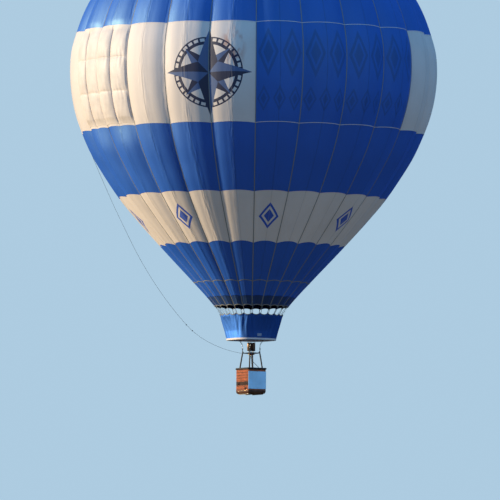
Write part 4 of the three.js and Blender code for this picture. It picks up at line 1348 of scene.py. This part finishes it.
class ScoopOperator(bpy.types.Operator):
    """Hangs the scoop, its hem, its blank patch and its straps."""

    bl_idname = "balloon.scoop"
    bl_label = "Scoop"

    def squared(self, down, turn):
        """The scoop's section, a circle at its head and a rounded square at its foot."""
        power = 2 + 0.9 * np.clip((np.asarray(down, float) - 0.15) / 0.6, 0, 1)
        turn = np.radians(turn)
        square = (np.abs(np.cos(turn)) ** power + np.abs(np.sin(turn)) ** power) ** (-1 / power)
        return square * (1 - 0.098 * (power - 2))

    def surface(self, down, across, proud=0.0):
        """Points on the scoop: down runs from 0 at its head to 1 at its foot."""
        knots = np.linspace(0, 1, len(SCOOP))
        radius = through(knots, [row[0] for row in SCOOP], down)
        height = through(knots, [row[1] for row in SCOOP], down)
        dip = through(knots, [row[2] for row in SCOOP], down)
        arch = 1 - (2 * (across - np.floor(across)) - 1) ** 2
        folds = 0.008 * np.sin(across * 7.3 + 1.1 * np.sin(down * 5 + across)) * np.sin(math.pi * down) ** 0.7
        creases = 0.003 * np.sin(across * 19 + down * 9) * np.sin(math.pi * np.clip(down * 1.1, 0, 1))
        bulge = 0.008 * arch * np.sin(math.pi * np.clip(down, 0, 1))
        turn = turn_of(across)
        radius = radius * self.squared(down, turn) - 0.004
        return polar(radius + folds + creases + bulge + proud, turn, height - dip * arch)

    def execute(self, context):
        gores = np.linspace(0, GORES, GORES * 12 + 1)[:-1]
        down, across = np.meshgrid(np.linspace(0, 1, 40), gores, indexing="ij")
        cut = np.stack([across, down * 1.12], axis=-1)
        scoop = sheet_mesh("scoop_cloth", self.surface(down, across), cut, [scoop_satin()], wraps=True)
        fitted(scoop, "scoop")
        self.hem(gores)
        self.patch()
        self.straps(gores)
        return {"FINISHED"}

    def hem(self, gores):
        turns = turn_of(gores)
        section = self.squared(1, turns)
        upper, lower = SCOOP[-1][0] * section, SCOOP_FOOT[0] * section
        head, foot = SCOOP[-1][1] + 0.004, SCOOP_FOOT[1]
        outer = np.stack([polar(upper + 0.001, turns, head), polar(lower + 0.002, turns, foot)])
        inner = np.stack([polar(upper - 0.010, turns, head), polar(lower - 0.010, turns, foot)])
        parts = Parts()
        parts.slab(outer, inner, wraps=True)
        parts.piece("scoop_hem_tape", [plain_cloth("cream", 0.6)], "cream_fabric", "scoop_hem")

    def patch(self):
        down, across = np.meshgrid(np.linspace(0.85, 0.94, 4), np.linspace(0.90, 1.65, 10), indexing="ij")
        parts = Parts()
        parts.slab(self.surface(down, across, 0.006), self.surface(down, across, 0.002))
        parts.piece("scoop_blank_patch", [painted(0.30, 0.31, 0.33, 0.6)], "webbing")

    def straps(self, gores):
        parts = Parts()
        down, across = np.meshgrid([0.0, 0.02, 0.045], gores, indexing="ij")
        parts.slab(self.surface(down, across, 0.007), self.surface(down, across, 0.003), wraps=True)
        for gore in range(GORES):
            place = gore + 0.09
            head = self.surface(0.04, place, 0.008)
            mouth = fabric(LEVELS[-1] - 0.03, turn_of(place), 0.010)
            across_way = polar(1, turn_of(place) + 90, 0)
            path = [head + (mouth - head) * share for share in np.linspace(0, 1, 6)]
            grid = np.stack([[p - across_way * 0.012, p + across_way * 0.012] for p in path])
            out = polar(0.0035, turn_of(place), 0)
            parts.slab(grid + out, grid)
        parts.piece("scoop_straps_webbing", [webbing()], "webbing", "scoop_straps")


class RiggingOperator(bpy.types.Operator):
    """Rigs the suspension wires and the karabiners."""

    bl_idname = "balloon.rigging"
    bl_label = "Rigging"

    def execute(self, context):
        for number, (corner, (x_side, y_side)) in enumerate(CORNERS.items()):
            low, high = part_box("karabiner_" + corner)
            middle = np.array([x_side * FRAME_X, y_side * FRAME_Y, (low[2] + high[2]) / 2])
            self.karabiner(corner, middle, (high[2] - low[2]) / 2 - 0.006)
            self.wires(corner, 6 * number, np.array([middle[0], middle[1], high[2] + 0.006]))
        return {"FINISHED"}

    def karabiner(self, corner, middle, half_height):
        turn = np.linspace(0, math.tau, 41)[:-1]
        wide = 0.021 * np.sign(np.cos(turn)) * np.abs(np.cos(turn)) ** 0.75
        high = half_height * np.sign(np.sin(turn)) * np.abs(np.sin(turn)) ** 0.85
        path = middle + np.stack([0 * turn, wide, high], axis=1)
        parts = Parts()
        parts.tube(path, 0.006, sides=10, closed=True, up=(1, 0, 0))
        gate = middle + np.array([0, 0.021, 0])
        parts.tube([gate - (0, 0, 0.016), gate + (0, 0, 0.012)], 0.0092, sides=14, up=(1, 0, 0))
        parts.piece("karabiner_forged_" + corner, [stainless()], "steel", "karabiner_" + corner)

    def wires(self, corner, first, start):
        parts = Parts()
        turn = np.linspace(0, math.tau, 21)[:-1]
        eye = start + np.stack([0.016 * np.sin(turn), 0 * turn, 0.012 + 0.018 * np.cos(turn)], axis=1)
        parts.tube(eye, 0.004, sides=8, closed=True, up=(0, 1, 0))
        gather = start + np.array([0, 0, 0.070])
        parts.tube([start + (0, 0, 0.026), gather], [0.013, 0.010], sides=14)
        for tape in range(first, first + 6):
            end = fabric(LEVELS[-1] - 0.03, turn_of(tape - 4), -0.006)
            parts.tube([start + (0, 0, 0.050), end], 0.0042, sides=6)
            lead = (gather - end) / np.linalg.norm(gather - end)
            parts.tube([end, end + lead * 0.075], [0.009, 0.007], sides=8)
        parts.piece(
            "suspension_cables_" + corner, [metal(0.42, 0.42, 0.42, 0.34, 0.0)], "cable",
            "suspension_wires_" + corner,
        )


def bar(parts, axis, start, end, radius, sides):
    """A level bar at the frame's height, along X for axis 0 or Y for axis 1."""
    parts.tube([np.eye(3)[axis] * reach + (0, 0, FRAME_Z) for reach in (start, end)], radius, sides=sides)


class LoadFrameOperator(bpy.types.Operator):
    """Welds the load frame and the gimbal ring."""

    bl_idname = "balloon.load_frame"
    bl_label = "Load frame"

    def execute(self, context):
        self.frame()
        self.gimbal()
        return {"FINISHED"}

    def frame(self):
        parts = Parts()
        parts.tube(rounded_loop(FRAME_X, FRAME_Y, 0.030, FRAME_Z, 6), 0.019, sides=14, closed=True)
        post_top = -12.745
        for x_side, y_side in CORNERS.values():
            x, y = x_side * FRAME_X, y_side * FRAME_Y
            parts.tube([(x, y, FRAME_Z), (x, y, post_top + 0.010)], 0.015, sides=14)
            parts.tube([(x, y, FRAME_Z - 0.021), (x, y, FRAME_Z + 0.032)], 0.024, sides=16)
            self.lug(parts, x, y, post_top)
            for way in ((-x_side * 0.085, 0, 0), (0, -y_side * 0.085, 0)):
                foot = (x + way[0], y + way[1], FRAME_Z + 0.012)
                parts.tube([foot, (x, y, post_top - 0.045)], 0.0085, sides=8)
        for side in (-1, 1):
            bar(parts, 1, side * (FRAME_Y - 0.024), side * (FRAME_Y + 0.024), 0.026, 20)
            bar(parts, 1, side * (FRAME_Y + 0.024), side * (FRAME_Y + 0.034), 0.015, 6)
        parts.piece("load_frame_welded", [frame_paint()], "frame_paint", "burner_frame")

    def lug(self, parts, x, y, base):
        """An eared plate with a round hole, standing on a corner post."""
        angle = np.linspace(0, math.tau, 24, endpoint=False)
        hole_z = base + 0.046
        hole = np.stack([0.017 * np.sin(angle), 0.017 * np.cos(angle)], axis=1)
        reach = 1 / np.maximum(np.abs(np.sin(angle)) / 0.028, np.abs(np.cos(angle)) / 0.028)
        outer = np.stack([reach * np.sin(angle), reach * np.cos(angle)], axis=1)
        outer[:, 1] = np.where(outer[:, 1] < 0, outer[:, 1] * 0.046 / 0.028, outer[:, 1])
        shoulder = outer[:, 1] > 0
        outer[shoulder] *= 0.028 / np.maximum(np.linalg.norm(outer[shoulder], axis=1, keepdims=True), 0.028)
        rings = [(outer, -0.006), (outer, 0.006), (hole, 0.006), (hole, -0.006)]
        parts.skin([[(x + p[0], y + depth, hole_z + p[1]) for p in ring] for ring, depth in rings])

    def gimbal(self):
        parts = Parts()
        parts.tube(rounded_loop(GIMBAL_X, GIMBAL_Y, 0.034, FRAME_Z, 6), 0.013, sides=12, closed=True)
        for side in (-1, 1):
            bar(parts, 1, side * (GIMBAL_Y - 0.018), side * (GIMBAL_Y + 0.018), 0.021, 18)
            bar(parts, 1, side * GIMBAL_Y, side * (FRAME_Y + 0.012), 0.0102, 16)
            bar(parts, 0, side * (GIMBAL_X - 0.018), side * (GIMBAL_X + 0.018), 0.021, 18)
        parts.piece("gimbal_ring_welded", [frame_paint()], "frame_paint", "gimbal_ring", body="gimbal_ring")


class BurnerOperator(bpy.types.Operator):
    """Builds the two burners with their coils, jets, valves and levers."""

    bl_idname = "balloon.burner"
    bl_label = "Burner"

    def execute(self, context):
        for name, side in (("left", -1), ("right", 1)):
            self.can(name, side * CAN_X)
            self.coil(name, side * CAN_X)
        self.block()
        return {"FINISHED"}

    def can(self, name, x):
        parts = Parts()
        foot = [
            (CAN_RADIUS - 0.005, CAN_FOOT), (CAN_RADIUS - 0.003, CAN_FOOT), (CAN_RADIUS, CAN_FOOT + 0.004)
        ]
        lip = [(0.0, -0.006), (0.004, -0.003), (0.002, 0.0), (-0.005, 0.0)]
        wall = foot + [(CAN_RADIUS + out, CAN_TOP + up) for out, up in lip]
        parts.turned(wall, (x, 0, 0), sides=48)
        for height in (CAN_FOOT + 0.060, CAN_TOP - 0.050):
            band = [
                (CAN_RADIUS, height - 0.006), (CAN_RADIUS + 0.0025, height), (CAN_RADIUS, height + 0.006),
                (CAN_RADIUS - 0.001, height),
            ]
            parts.turned(band, (x, 0, 0), sides=48)
        for step in range(20):
            turn = 18 * step
            centre = np.array([x, 0, CAN_FOOT + 0.030]) + polar(CAN_RADIUS + 0.0008, turn, 0)
            across, out = polar(0.0065, turn + 90, 0), polar(0.0012, turn, 0)
            angle = np.linspace(0, math.tau, 10, endpoint=False)
            ring = [centre + across * math.cos(a) + np.array([0, 0, 0.014 * math.sin(a)]) for a in angle]
            parts.skin([ring, [p + out for p in ring]], closed=False, slot=1)
        parts.piece(
            "burner_can_rolled_" + name, [burnt_steel(), frame_paint()], "steel", "burner_can_" + name,
            body="burner",
        )

    def coil(self, name, x):
        parts = Parts()
        turn = np.linspace(0, 8.5 * 360, 8 * 36)
        rise = np.linspace(CAN_FOOT + 0.064, CAN_FOOT + 0.320, len(turn))
        tube = 0.0075
        radius = CAN_RADIUS - 0.0065 - tube
        path = polar(radius, turn, rise) + np.array([x, 0, 0])
        parts.tube(path, tube, sides=8)
        tail = [
            path[0], path[0] + (0, 0, -0.030),
            (x + (path[0][0] - x) * 0.5, path[0][1] * 0.5, CAN_FOOT - 0.020),
        ]
        parts.tube(spread(np.array(tail), 6), tube * 0.9, sides=8)
        ring = polar(0.052, np.linspace(0, 360, 33)[:-1], CAN_FOOT + 0.018) + np.array([x, 0, 0])
        parts.tube(ring, 0.007, sides=8, closed=True)
        for turn in range(0, 360, 30):
            jet = polar(0.052, turn, CAN_FOOT + 0.024) + np.array([x, 0, 0])
            parts.tube([jet, jet + (0, 0, 0.012)], [0.0038, 0.0030], sides=6)
        parts.tube([(x, 0, CAN_FOOT - 0.010), (x, 0, CAN_FOOT + 0.052)], [0.016, 0.013], sides=14)
        for turn in (45, 135, 225, 315):
            spoke = [polar(0.012, turn, CAN_FOOT + 0.010), polar(0.0895, turn, CAN_FOOT + 0.010)]
            parts.tube([p + np.array([x, 0, 0]) for p in spoke], 0.0045, sides=6)
        parts.piece(
            "burner_coil_wound_" + name, [burnt_steel()], "steel", "burner_coil_" + name, body="burner"
        )

    def block(self):
        parts = Parts()
        reach = 0.187
        parts.block((-reach, -0.023, FRAME_Z - 0.023), (reach, 0.023, FRAME_Z + 0.023), 0.006)
        for side in (-1, 1):
            x = side * CAN_X
            bar(parts, 0, side * (reach - 0.006), side * (GIMBAL_X + 0.011), 0.0102, 16)
            parts.block(
                (x - 0.040, -0.035, FRAME_Z - 0.078), (x + 0.040, 0.035, FRAME_Z - 0.018), 0.007, slot=1
            )
            for front in (-1, 1):
                leg = [(x, front * 0.020, FRAME_Z + 0.010), (x, front * 0.0925, CAN_FOOT + 0.016)]
                parts.tube(leg, 0.0068, sides=10)
            pivot = (x, -0.020, FRAME_Z - 0.065)
            parts.tube(
                [(x - 0.012, -0.020, pivot[2]), (x + 0.012, -0.020, pivot[2])], 0.010, sides=12, slot=1
            )
            lever = [pivot, (x, -0.070, FRAME_Z - 0.064), (x, -0.150, FRAME_Z - 0.066)]
            parts.tube(lever, 0.0055, sides=10, slot=1, squash=0.7)
            parts.tube(
                [(x, -0.088, FRAME_Z - 0.0645), (x, -0.150, FRAME_Z - 0.066)], 0.0085, sides=12, slot=2
            )
            dial = (x, 0.0355, FRAME_Z - 0.048)
            parts.turned(
                [(0, 0), (0.022, 0), (0.023, 0.004), (0.021, 0.013), (0, 0.013)], dial, 28, 1, axis=(0, 1, 0)
            )
            parts.turned(
                [(0, 0.0132), (0.018, 0.0132), (0.018, 0.0138), (0, 0.0138)], dial, 28, 3, axis=(0, 1, 0)
            )
            parts.tube(
                [(x + 0.028, 0, FRAME_Z + 0.020), (x + 0.028, 0, CAN_FOOT - 0.004)], 0.0042, sides=8, slot=1
            )
            parts.tube([(x - 0.028, 0, FRAME_Z + 0.020), (x - 0.028, 0, CAN_FOOT + 0.004)], 0.0055, sides=8)
        handle, face = painted(0.42, 0.028, 0.020, 0.4), painted(0.75, 0.75, 0.72, 0.3)
        finishes = [stainless(), brass(), handle, face]
        parts.piece("burner_block_machined", finishes, "steel", "burner_block", body="burner")
        self.boot()

    def boot(self):
        """The soft skirt round the hoses' ends, open underneath."""
        half_x, half_y, top, foot = 0.078, 0.052, FRAME_Z - 0.024, FRAME_Z - 0.074
        parts = Parts()
        loops = [
            rounded_loop(half_x - 0.010, half_y - 0.010, 0.010, top, 4),
            rounded_loop(half_x, half_y, 0.014, top - 0.014, 4),
            rounded_loop(half_x - 0.003, half_y - 0.003, 0.012, top - 0.026, 4),
            rounded_loop(half_x, half_y, 0.014, foot, 4),
            rounded_loop(half_x - 0.006, half_y - 0.006, 0.010, foot, 4),
            rounded_loop(half_x - 0.008, half_y - 0.008, 0.010, top - 0.010, 4),
        ]
        parts.skin(loops)
        parts.piece("burner_boot", [hose_rubber()], "hose_rubber", body="burner")


class UprightsOperator(bpy.types.Operator):
    """Sleeves the four uprights in padded hide and sets their sockets."""

    bl_idname = "balloon.uprights"
    bl_label = "Uprights"

    def execute(self, context):
        for corner, (x_side, y_side) in CORNERS.items():
            top = np.array([x_side * FRAME_X, y_side * FRAME_Y, FRAME_Z - 0.0245])
            foot = np.array([x_side * SOCKET_X, y_side * SOCKET_Y, -13.735])
            self.sleeve(corner, foot, top)
            self.socket(corner, x_side, y_side)
        return {"FINISHED"}

    def sleeve(self, corner, foot, top):
        share = np.linspace(0, 1, 60)
        soft = 0.0295 + 0.0028 * np.abs(np.sin(share * math.pi * 9)) + 0.0012 * np.sin(share * 31)
        soft[:2], soft[-2:] = (0.026, 0.029), (0.029, 0.026)
        parts = Parts()
        path = foot + np.outer(share, top - foot)
        parts.tube(path, soft, sides=22, up=(1, 0, 0))
        sleeve = parts.piece(
            "upright_sleeve_" + corner, [leather("rim")], "leather", "upright_" + corner, sharp=60
        )
        lacing = Parts()
        inward = np.array([-foot[0], -foot[1], 0]) / np.linalg.norm(foot[:2])
        along = (top - foot) / np.linalg.norm(top - foot)
        across = np.cross(along, inward)
        for step in range(26):
            middle = foot + along * (0.05 + 0.0285 * step) + inward * 0.0318
            way = 1 if step % 2 else -1
            reach = across * 0.010 * way - along * 0.011
            lacing.tube([middle + reach, middle + inward * 0.002, middle - reach], 0.0019, sides=6)
        lacing.piece("upright_lacing_" + corner, [painted(0.10, 0.075, 0.05, 0.7)], "leather")

    def socket(self, corner, x_side, y_side):
        centre = (x_side * SOCKET_X, y_side * SOCKET_Y, 0)
        top, foot = -13.610, -13.738
        wall = [
            (0.045, foot), (0.050, foot + 0.006), (0.050, top - 0.012), (0.053, top - 0.004), (0.051, top),
            (0.0455, top), (0.0455, foot + 0.005), (0.0, foot + 0.005), (0.0, foot),
        ]
        parts = Parts()
        parts.turned(wall, centre, sides=36)
        ears = (((0.3997, 0.404), (0.4397, SOCKET_Y)), ((0.316, 0.4897), (SOCKET_X, 0.5297)))
        for low, high in ears:
            xs, ys = sorted((x_side * low[0], x_side * high[0])), sorted((y_side * low[1], y_side * high[1]))
            parts.block((xs[0], ys[0], -13.731), (xs[1], ys[1], -13.677), 0.004)
        parts.piece("upright_socket_turned_" + corner, [stainless()], "steel", "upright_socket_" + corner)


class BasketOperator(bpy.types.Operator):
    """Weaves the basket and finishes its rim, its foot, its banner and its handles."""

    bl_idname = "balloon.basket"
    bl_label = "Basket"

    def execute(self, context):
        self.weave()
        self.rim()
        self.scuff()
        self.runners()
        self.banner()
        self.handles()
        floor = bpy.data.objects["basket_floor"].data
        floor.materials.clear()
        floor.materials.append(planks())
        return {"FINISHED"}

    def weave(self):
        """Strands that pass before one stake and behind the next, with the footholds left open."""
        stakes = sizes().stakes
        steps = stakes * 4
        loop = wall_loop(steps)
        out = outward(loop)
        strand_radius = 0.0086
        rounds = int((WALL_TOP - WALL_FOOT) / sizes().strand)
        pitch = (WALL_TOP - WALL_FOOT) / rounds
        phase = np.arange(steps) / 4 * math.pi
        parts = Parts()
        for number in range(rounds):
            height = WALL_FOOT + pitch * (number + 0.5)
            thick = number % WALING_EVERY == 3
            wave = np.sin(phase + (math.pi if number % 2 else 0))
            wave = np.sign(wave) * np.abs(wave) ** 0.7
            path = np.column_stack(
                [loop + out * ((0.0105 + 0.002 * thick) * wave)[:, None], np.full(steps, height)]
            )
            path[:, 2] += 0.0012 * np.sin(phase * 0.13 + number * 1.7)
            dark = thick or DARK_BAND[0] < height < DARK_BAND[1]
            open_here = [
                hole for hole in FOOTHOLDS if abs(height - hole[2]) < FOOTHOLD_HEIGHT / 2 + pitch * 0.4
            ]
            keep = np.ones(steps, bool)
            for side, y, _ in open_here:
                beside = np.abs(path[:, 1] - y) < FOOTHOLD_WIDTH / 2 + 0.004
                keep &= ~((side * path[:, 0] > SIDE_WALL_X) & beside)
            for run, closed in runs(keep):
                parts.tube(
                    path[run], strand_radius, sides=5, slot=1 if dark else 0, closed=closed,
                    squash=pitch / 2 / strand_radius,
                )
        parts.piece("basket_weave", [willow("wicker"), willow("cane")], "wicker", "basket_wall", sharp=80)
        self.stakes(loop)
        self.footholds()

    def stakes(self, loop):
        parts = Parts()
        for at in loop[2::4]:
            blocked = [
                hole for hole in FOOTHOLDS
                if at[0] * hole[0] > SIDE_WALL_X and abs(at[1] - hole[1]) < FOOTHOLD_WIDTH / 2
            ]
            spans = [(WALL_FOOT + 0.002, WALL_TOP + 0.030)]
            for hole in blocked:
                low, high = hole[2] - FOOTHOLD_HEIGHT / 2, hole[2] + FOOTHOLD_HEIGHT / 2
                spans = [(WALL_FOOT + 0.002, low), (high, WALL_TOP + 0.030)]
            for low, high in spans:
                parts.tube([(*at, low), (*at, high)], 0.0066, sides=8, up=(1, 0, 0))
        parts.piece("basket_stakes", [willow("cane")], "wicker")

    def footholds(self):
        """A wrapped border round each foothold, on both faces of the wall."""
        parts = Parts()
        for side, y, z in FOOTHOLDS:
            for depth in (0.004, 0.020, 0.036):
                x = side * (BASKET_X - depth)
                flat = rounded_loop(FOOTHOLD_WIDTH / 2 - 0.002, FOOTHOLD_HEIGHT / 2 - 0.002, 0.020, 0, 6)
                path = [(x, y + p[0], z + p[1]) for p in flat]
                parts.tube(path, 0.0092, sides=9, closed=True, up=(1, 0, 0))
        parts.piece("foothold_borders", [leather("hide")], "leather")

    def rim(self):
        parts = Parts()
        height = WALL_TOP + 0.0423
        loops = []
        steps = 220
        loop = wall_loop(steps)
        out = outward(loop)
        quilt = 1 + 0.022 * np.abs(np.sin(np.arange(steps) / steps * math.pi * 22))
        for angle in np.linspace(0, math.tau, 21)[:-1]:
            side = 0.0495 * quilt * np.sign(math.cos(angle)) * abs(math.cos(angle)) ** 0.85
            lift = 0.0415 * np.sign(math.sin(angle)) * abs(math.sin(angle)) ** 0.85
            loops.append(np.column_stack([loop + out * side[:, None], np.full(steps, height + lift)]))
        parts.skin(loops)
        rim = parts.piece("basket_rim_padded", [leather("rim")], "leather", "basket_rim", sharp=70)
        lace = Parts()
        for step in range(0, steps, 2):
            at, way = loop[step], out[step]
            for side in (0.046, -0.046):
                place = np.array([*(at + way * side), height - 0.026])
                along = np.array([-way[1], way[0], 0])
                reach = along * 0.006 + (0, 0, 0.007)
                bulge = np.array([*way, 0]) * np.sign(side) * 0.003
                lace.tube([place - reach, place + bulge, place + reach], 0.0020, sides=6)
        lace.piece("basket_rim_lacing", [painted(0.13, 0.09, 0.055, 0.7)], "leather")

    def scuff(self):
        """Hide from the weave's last round to under the floor's edge."""
        top, bottom = WALL_FOOT - 0.0003, -14.760
        ledge = bottom + 0.045
        profile = [
            (0.001, top - 0.004), (0.004, top), (0.036, top), (0.040, top - 0.004), (0.040, ledge + 0.003),
            (0.043, ledge), (0.108, ledge), (0.113, ledge - 0.005), (0.135, bottom + 0.002), (0.133, bottom),
            (0.095, bottom), (0.066, bottom + 0.009), (0.040, bottom + 0.030), (0.016, bottom + 0.068),
            (0.004, bottom + 0.100), (0.0, bottom + 0.130),
        ]
        parts = Parts()
        loops = [
            rounded_loop(BASKET_X - inset, BASKET_Y - inset, max(BASKET_CORNER - inset, 0.004), z, 10)
            for inset, z in profile
        ]
        parts.skin(loops)
        parts.piece("basket_scuff_hide", [leather("hide")], "leather", "basket_scuff", sharp=50)
        studs = Parts()
        loop = even_loop(BASKET_X, BASKET_Y, BASKET_CORNER, 96)
        for at, way in zip(loop, outward(loop)):
            centre = (at[0] - 0.001 * way[0], at[1] - 0.001 * way[1], top - 0.018)
            cap = [(0, 0), (0.0055, 0), (0.0045, 0.0022), (0.0, 0.0034)]
            studs.turned(cap, centre, sides=8, axis=(way[0], way[1], 0))
        studs.piece("basket_scuff_studs", [brass()], "steel")

    def runners(self):
        for number, x in enumerate((-0.360, 0.0, 0.360), 1):
            parts = Parts()
            end = [(0.438, -14.790), (0.450, -14.775), (0.450, -14.7605)]
            outline = [(-y, z) for y, z in reversed(end)] + end
            loops = []
            for side, inset in ((-0.025, 0.003), (-0.022, 0.0), (0.022, 0.0), (0.025, 0.003)):
                loops.append(
                    [(x + side, y * (1 - inset / 0.45), max(z, -14.790 + inset)) for y, z in outline]
                )
            parts.skin(loops, closed=False)
            for y in (-0.34, -0.12, 0.12, 0.34):
                for side in (-1, 1):
                    washer = [(0, 0), (0.009, 0), (0.008, 0.003), (0.0, 0.0045)]
                    parts.turned(washer, (x + side * 0.0248, y, -14.774), 12, 1, axis=(side, 0, 0))
            parts.piece(f"runner_planed_{number}", [planks(), stainless()], "timber", f"runner_{number}")

    def on_front(self, along, height, proud):
        """Points on the front, at a distance along it that follows the round corners beside it."""
        along, height, proud = np.broadcast_arrays(along, height, proud)
        flat = BASKET_X - BASKET_CORNER
        angle = np.maximum(np.abs(along) - flat, 0) / BASKET_CORNER
        reach = BASKET_CORNER + proud
        x = np.sign(along) * (np.minimum(np.abs(along), flat) + reach * np.sin(angle))
        return np.stack([x, BASKET_CORNER - BASKET_Y - reach * np.cos(angle), height], axis=-1)

    def banner(self):
        width, low, high = 0.940, -14.545, -13.745
        down, across = np.meshgrid(np.linspace(0, 1, 41), np.linspace(0, 1, 61), indexing="ij")
        slack = np.sin(math.pi * across) * np.sin(math.pi * down)
        ripple = 0.0016 * np.sin(across * 17 + down * 4) + 0.0014 * np.sin(down * 13 + across * 6)
        proud = 0.0045 + 0.003 * slack + np.abs(ripple) * 1.5
        grid = self.on_front((across - 0.5) * width, high - down * (high - low), proud)
        banner = sheet_mesh(
            "banner_canvas", grid, np.stack([across, down], axis=-1), [plain_cloth("banner", 0.75)]
        )
        hem = Parts()
        edge, half = 0.022, width / 2
        for x0, x1, z0, z1 in (
            (-half, half, high - edge, high), (-half, half, low, low + edge),
            (-half, edge - half, low, high), (half - edge, half, low, high),
        ):
            height, along = np.meshgrid(np.linspace(z1, z0, 3), np.linspace(x0, x1, 41), indexing="ij")
            hem.slab(self.on_front(along, height, 0.0086), self.on_front(along, height, 0.0040))
        for x in np.linspace(-0.384, 0.384, 5):
            for z in (low + edge / 2, high - edge / 2):
                eyelet = [(0.0035, 0.0), (0.0078, 0.0), (0.0070, 0.0022), (0.0042, 0.0026)]
                hem.turned(eyelet, (x, -BASKET_Y - 0.0084, z), 16, 1, axis=(0, -1, 0))
        hemmed = hem.piece("banner_hem", [plain_cloth("banner", 0.7), brass()], "banner_cloth")
        fitted(banner, "banner")

    def handles(self):
        """Rope grips inside the wall, with their ends through the weave."""
        parts = Parts()
        turn = np.linspace(0, math.pi, 14)
        dip, along = 0.050 * np.sin(turn), 0.075 * np.cos(turn)
        height = -13.830 - dip * 0.9
        for side in (-1, 1):
            on_left = [0.046 - BASKET_X + dip, side * 0.20 + along, height]
            on_end = [along - 0.17, side * (BASKET_Y - 0.046 - dip), height]
            for path in (on_left, on_end):
                parts.tube(np.stack(path, axis=1), 0.0085, sides=9)
        parts.piece("basket_rope_grips", [braided_rope(0.33, 0.27, 0.19)], "rope")


class TanksOperator(bpy.types.Operator):
    """Stands the two fuel cylinders in the basket's corners and straps them."""

    bl_idname = "balloon.tanks"
    bl_label = "Fuel tanks"

    def execute(self, context):
        for name, y in (("back", 0.355), ("front", -0.355)):
            self.tank(name, 0.265, y)
        return {"FINISHED"}

    def tank(self, name, x, y):
        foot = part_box("fuel_tank_" + name)[0][2]
        parts = Parts()
        quarter = np.linspace(0, math.pi / 2, 7)
        bend = [(0.105 + 0.045 * math.cos(a), foot + 0.730 + 0.065 * math.sin(a)) for a in quarter]
        shell = [
            (0.0, foot), (0.128, foot), (0.143, foot + 0.008), (0.150, foot + 0.030), *bend,
            (0.085, foot + 0.805), (0.050, foot + 0.8125), (0.0, foot + 0.816),
        ]
        parts.turned(shell, (x, y, 0), sides=48)
        collar = [
            (0.066, foot + 0.808), (0.0695, foot + 0.808), (0.0695, foot + 0.872), (0.0715, foot + 0.877),
            (0.0690, foot + 0.880), (0.0635, foot + 0.877), (0.0635, foot + 0.808),
        ]
        parts.turned(collar, (x, y, 0), sides=40)
        for weld in (foot + 0.058, foot + 0.728):
            parts.turned([(0.149, weld - 0.004), (0.1512, weld), (0.149, weld + 0.004)], (x, y, 0), sides=48)
        stem = [
            (0.0, foot + 0.812), (0.020, foot + 0.812), (0.020, foot + 0.830), (0.014, foot + 0.836),
            (0.014, foot + 0.852), (0.0, foot + 0.8597),
        ]
        parts.turned(stem, (x, y, 0), 20, 1)
        wheel = polar(0.030, np.linspace(0, 360, 33)[:-1], foot + 0.842) + np.array([x, y, 0])
        parts.tube(wheel, 0.0045, sides=8, closed=True, slot=2)
        for turn in (0, 90, 180, 270):
            spoke = [polar(r, turn, foot + 0.842) + np.array([x, y, 0]) for r in (0.012, 0.030)]
            parts.tube(spoke, 0.003, sides=6, slot=2)
        for z in (foot + 0.20, foot + 0.60):
            strap = [(0.1505, z - 0.024), (0.1535, z - 0.022), (0.1535, z + 0.022), (0.1505, z + 0.024)]
            parts.turned(strap, (x, y, 0), 48, 3)
            buckle = np.array([x - 0.155, y, z])
            parts.block(buckle - (0.004, 0.030, 0.028), buckle + (0.004, 0.030, 0.028), 0.003, slot=0)
        parts.piece(
            "fuel_tank_spun_" + name,
            [satin_aluminium(), brass(), painted(0.30, 0.02, 0.015, 0.4), webbing()],
            "aluminium", "fuel_tank_" + name,
        )


class BalloonPanel(bpy.types.Panel):
    """Buttons and settings in the sidebar."""

    bl_idname = "VIEW3D_PT_balloon"
    bl_label = "Hot Air Balloon"
    bl_space_type = "VIEW_3D"
    bl_region_type = "UI"
    bl_category = "Balloon"

    def draw(self, context):
        for cls in OPERATORS:
            self.layout.operator(cls.bl_idname)
        for group in (context.scene.balloon_colours, context.scene.balloon_sizes):
            for name in group.__annotations__:
                self.layout.prop(group, name)


OPERATORS = (
    StageOperator, CordsOperator, EnvelopeOperator, TapesOperator, CoverOperator, ValveOperator,
    ScoopOperator, RiggingOperator, LoadFrameOperator, BurnerOperator, UprightsOperator, BasketOperator,
    TanksOperator,
)
CLASSES = (BalloonColours, BalloonSizes, *OPERATORS, BalloonPanel)


def register():
    for cls in CLASSES:
        bpy.utils.register_class(cls)
    bpy.types.Scene.balloon_colours = PointerProperty(type=BalloonColours)
    bpy.types.Scene.balloon_sizes = PointerProperty(type=BalloonSizes)


def unregister():
    del bpy.types.Scene.balloon_sizes
    del bpy.types.Scene.balloon_colours
    for cls in reversed(CLASSES):
        bpy.utils.unregister_class(cls)


def main():
    register()
    for cls in OPERATORS:
        group, name = cls.bl_idname.split(".")
        getattr(getattr(bpy.ops, group), name)()


if __name__ == "__main__":
    main()
